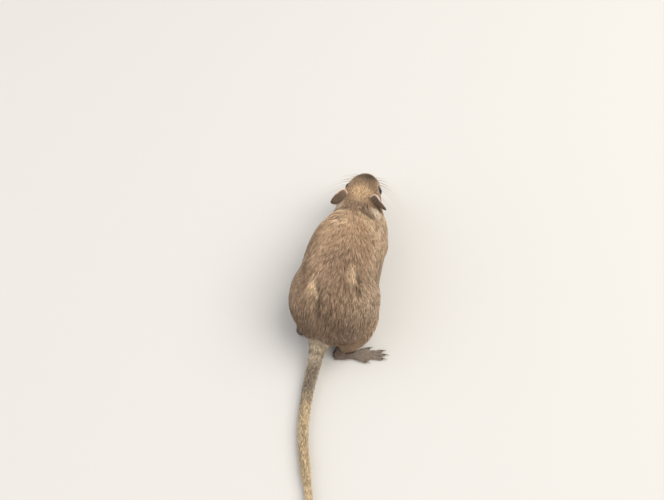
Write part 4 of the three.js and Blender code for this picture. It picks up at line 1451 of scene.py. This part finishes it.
def ear_skin():
    material = new_material("thin ear skin")
    markings_and_shading = node(material, "ShaderNodeAttribute", attribute_name="markings_and_shading").outputs["Color"]
    veins = node(material, "ShaderNodeTexNoise", {"Scale": 1 / EAR_VEINS, "Detail": 4.0}).outputs[0]
    shade = node(material, "ShaderNodeValToRGB", {"Fac": veins}, ramp=greys(VEIN_SHADES)).outputs[0]
    colour = node(material, "ShaderNodeMix", {0: 1.0, 6: markings_and_shading, 7: shade}, **MULTIPLIED).outputs[2]
    grain = node(material, "ShaderNodeTexNoise", {"Scale": 1 / EAR_GRAIN, "Detail": 3.0}).outputs[0]
    bump = node(material, "ShaderNodeBump", {"Height": grain, "Strength": 0.4, "Distance": 0.08 * MM})
    shader = node(
        material,
        "ShaderNodeBsdfPrincipled",
        {
            "Base Color": colour,
            "Roughness": 0.5,
            "IOR": 1.4,
            "Subsurface Weight": 0.5,
            "Subsurface Radius": (1.2 * MM, 0.5 * MM, 0.3 * MM),
            "Subsurface Scale": 1.0,
            "Normal": bump.outputs["Normal"],
        },
    )
    return surfaced(material, shader)


ear_material = ear_skin()
print("ear skin:", len(ear_material.node_tree.nodes), "nodes")

# %% [markdown]
# The ear's leaf is rolled at its foot and cupped to the front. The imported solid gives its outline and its
# place. It is remeshed finely and smoothed, and its foot is drawn down into the head's hair, so that no gap
# shows round its root. The down on it is the same hair as the coat's, only shorter than a millimetre: dense
# behind and on the edge, thin inside.

# %% Ears
EAR_MESH = 0.28 * MM
EAR_ROUNDS = 8
EAR_FOOT = 3.0  # mm that are drawn down into the head
EAR_INSIDE, EAR_HOLLOW_SHADE, EAR_BACK = "#c0988a", "#6b4c42", "#6c5b4e"
EAR_EDGE_AND_HIGHLIGHT, EAR_PAINTED_GLOW, EAR_DOWN = "#ead8c8", "#b27f70", "#a38d75"
EAR_CLUMP = 0.7  # mm
EAR_SEED = 31

for side in ("left", "right"):
    solid = solid_of(f"{side}_ear")
    ear = net_of(f"{side}_ear_leaf", solid, EAR_MESH)
    solid.free()
    ear_points = points_of(ear.data)
    ear_edges = read(ear.data, ear.data.edges, "vertices", 2, np.int32)
    ear_points = spread(ear_points, ear_edges, EAR_ROUNDS)
    centre = ear_points.mean(0)
    spans = np.linalg.svd(ear_points - centre, full_matrices=False)[2]
    tall = spans[0] * np.sign(spans[0][2])
    facing = spans[2] * np.sign(spans[2] @ AHEAD)
    height = (ear_points - centre) @ tall / MM
    height = height - height.min()
    foot = ramp(-height, -3.5, 0)
    ear_points = ear_points - (EAR_FOOT * foot)[:, None] * MM * tall
    set_points(ear.data, ear_points)
    ear_normals = normals_of(ear.data)
    inside = ramp(ear_normals @ facing, -0.25, 0.35)
    flat_on = spread(np.abs(ear_normals @ facing)[:, None], ear_edges, 2)[:, 0]  # low on the leaf's rim
    rim_tree = tree_of(ear_points[(flat_on < 0.35) & (height > 2)])
    edge = near(np.array([rim_tree.find(p)[2] for p in ear_points]) / MM, 0.5) * ramp(height, 2, 5)
    ahead = (ear_points - centre) @ AHEAD / MM
    ear_markings_and_shading = np.tile(linear(EAR_BACK), (len(ear_points), 1))
    ear_markings_and_shading = painted(ear_markings_and_shading, EAR_INSIDE, inside)
    # painted light: a pinkish glow on the ear's back, towards its front, as if lamp light shone through
    ear_markings_and_shading = painted(ear_markings_and_shading, EAR_PAINTED_GLOW, 0.7 * (1 - inside) * ramp(ahead, 1.5, 3.5))
    # painted shade deep in the ear's hollow, darker towards its foot
    ear_markings_and_shading = painted(ear_markings_and_shading, EAR_HOLLOW_SHADE, 0.8 * inside * ramp(-height, -7, -1.5))
    # The rim is painted pale: its whitish hair, and a painted highlight along the edge.
    ear_markings_and_shading = painted(ear_markings_and_shading, EAR_EDGE_AND_HIGHLIGHT, edge)
    attribute(ear.data, "markings_and_shading", ear_markings_and_shading)
    ear.data.materials.append(ear_material)
    shade_smooth(ear.data)
    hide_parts(f"{side}_ear")
    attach(ear, "root")
    down = {
        "rise": 0.16 + 0.12 * edge,
        "length": 0.9 - 0.15 * edge - 0.2 * inside,
        "width": np.full(len(height), 0.11),
        "crowd": 16 - 15 * inside + 10 * edge,
        "lock": np.zeros(len(height)),
    }
    ear_lie = on_surface(np.tile(tall, (len(height), 1)) + 0.5 * edge[:, None] * ear_normals, ear_normals)
    ear_ground = ground_of(ear, ear_lie, down, painted(ear_markings_and_shading, EAR_DOWN, 0.35 * (1 - edge)))
    everywhere = np.arange(len(ear_ground["triangles"]))
    grown = tufts(ear_ground, everywhere, "short", EAR_CLUMP, EAR_SEED, guard=0, contrast=0)
    blades(f"coat_{side}_ear", grown, "short", hair)
    print(side, "ear", round(height.max(), 1), "mm tall with", len(grown["path"]), "tufts")

# %% [markdown]
# Claws are curved cones of horn, one for each toe, dark at the root and paler where they wear thin at the
# point. Each starts inside the toe's end. A swept tube that tapers to nothing is all that one needs. Horn
# grows in layers, which give it a faint grain, and wear keeps it smooth, so that it is glossier than skin.

# %% Claws
CLAW_RINGS, CLAW_SIDES = 9, 8
CLAW_RADII = (0.48, 0.05)  # mm at its root and near its point
CLAW_HEIGHT = 1.25  # of its width
HORN_LAYERS = 0.3 * MM
HORN_ROOT, HORN_POINT = "#4b3b33", "#b7a48f"


def claw_horn():
    material = new_material("claw horn")
    along = node(material, "ShaderNodeAttribute", attribute_name="along").outputs["Fac"]
    layers = node(material, "ShaderNodeTexNoise", {"Scale": 1 / HORN_LAYERS, "Detail": 2.0}).outputs[0]
    bump = node(material, "ShaderNodeBump", {"Height": layers, "Strength": 0.2, "Distance": 0.05 * MM})
    browns = [(0.2, rgba(HORN_ROOT)), (1.0, rgba(HORN_POINT))]
    tone = node(material, "ShaderNodeValToRGB", {"Fac": along}, ramp=browns)
    shader = node(
        material,
        "ShaderNodeBsdfPrincipled",
        {"Base Color": tone.outputs[0], "Roughness": 0.35, "IOR": 1.55, "Normal": bump.outputs["Normal"]},
    )
    return surfaced(material, shader)


def claw(start, direction, length, reach, radius):
    """Points and faces of one claw, which sits in the end of a toe."""
    stops = np.array([(length - 1.3, 1.1), (length + 0.35 * reach, 1.3), (length + reach, 0.3 / radius)])
    path = start + MM * (stops[:, :1] * direction + stops[:, 1:] * radius * np.array([0, 0, 1]))
    path = smooth_path(path, CLAW_RINGS)
    return tube(path, np.linspace(*CLAW_RADII, CLAW_RINGS) * MM, CLAW_SIDES, CLAW_HEIGHT)


horn = claw_horn()
for name, (form, heel, points_to) in FEET.items():
    claws = [
        claw(start, direction, length, form["claw"], form["toe_radius"])
        for start, direction, length in toes_of(form, heel, points_to)
    ]
    piece = object_from(f"{name}_claws", *joined(claws), horn)
    attribute(piece.data, "along", np.tile(along_tube(CLAW_RINGS, CLAW_SIDES), len(claws)))
    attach(piece, "root")
    print(name, len(claws), "claws")

# %% [markdown]
# Whiskers are the thickest hairs: stiff, springy and tapered from root to tip, in rows on the pad beside
# the nose, the longest at the back. Each is one swept tube that curves out, back and a little down under
# its weight. Its horn is smooth, dark at the root and pale where it thins.

# %% Whiskers
WHISKER_ROWS = [  # behind the nose, above it, how many, shortest and longest, in millimetres
    (2.2, 0.2, 3, 9, 16),
    (4.0, 0.9, 4, 14, 24),
    (5.0, -0.6, 4, 13, 26),
    (6.0, -2.0, 3, 10, 20),
]
WHISKER_RADIUS = 0.1  # mm at the root
WHISKER_POINT = 0.22  # share of the root's radius that is left at the point
WHISKER_SUNK = 0.4 * MM  # how deep its root sits in the skin
WHISKER_RINGS, WHISKER_SIDES = 10, 5
WHISKER_SEED = 5
WHISKER_DARK, WHISKER_PALE = "#2c231d", "#c9bba6"


def whisker_keratin():
    material = new_material("whisker keratin")
    along = node(material, "ShaderNodeAttribute", attribute_name="along").outputs["Fac"]
    browns = [(0.0, rgba(WHISKER_DARK)), (0.75, rgba(WHISKER_PALE))]
    tone = node(material, "ShaderNodeValToRGB", {"Fac": along}, ramp=browns)
    shader = node(
        material, "ShaderNodeBsdfPrincipled", {"Base Color": tone.outputs[0], "Roughness": 0.35, "IOR": 1.55}
    )
    return surfaced(material, shader)


skin_tree = BVHTree.FromPolygons([tuple(p) for p in points], ground["triangles"].tolist())
whisker_material = whisker_keratin()
draw = np.random.default_rng(WHISKER_SEED)
for side, sign in (("left", 1), ("right", -1)):
    shapes = []
    for behind, over, count, short, long in WHISKER_ROWS:
        for i in range(count):
            beside_nose = -(behind + 1.3 * i) * AHEAD + sign * (3 + 1.2 * i) * ASIDE
            place = NOSE + MM * (beside_nose + np.array([0, 0, over + 0.15 * i]))
            root, normal = (np.array(found) for found in skin_tree.find_nearest(place)[:2])
            length = (short + (long - short) * (i + draw.random() * 0.6) / count) * MM
            out = unit(0.75 * sign * ASIDE + 0.45 * normal - (0.05 + 0.2 * i) * AHEAD + [0, 0, 0.05 * over])
            back = unit(-0.9 * AHEAD + 0.55 * sign * ASIDE + [0, 0, -0.12 + 0.2 * draw.random()])
            stops = np.linspace(0, 1, WHISKER_RINGS)[:, None]
            path = root - WHISKER_SUNK * normal + length * (stops * out + 0.42 * stops**2 * (back - out))
            path[:, 2] = np.maximum(path[:, 2] - 0.05 * length * stops[:, 0] ** 2, 0.3 * MM)
            radii = np.linspace(1, WHISKER_POINT, WHISKER_RINGS) * WHISKER_RADIUS * MM
            shapes.append(tube(path, radii, WHISKER_SIDES))
    piece = object_from(f"{side}_whiskers", *joined(shapes), whisker_material)
    attribute(piece.data, "along", np.tile(along_tube(WHISKER_RINGS, WHISKER_SIDES), len(shapes)))
    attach(piece, "root")
    print(side, len(shapes), "whiskers")
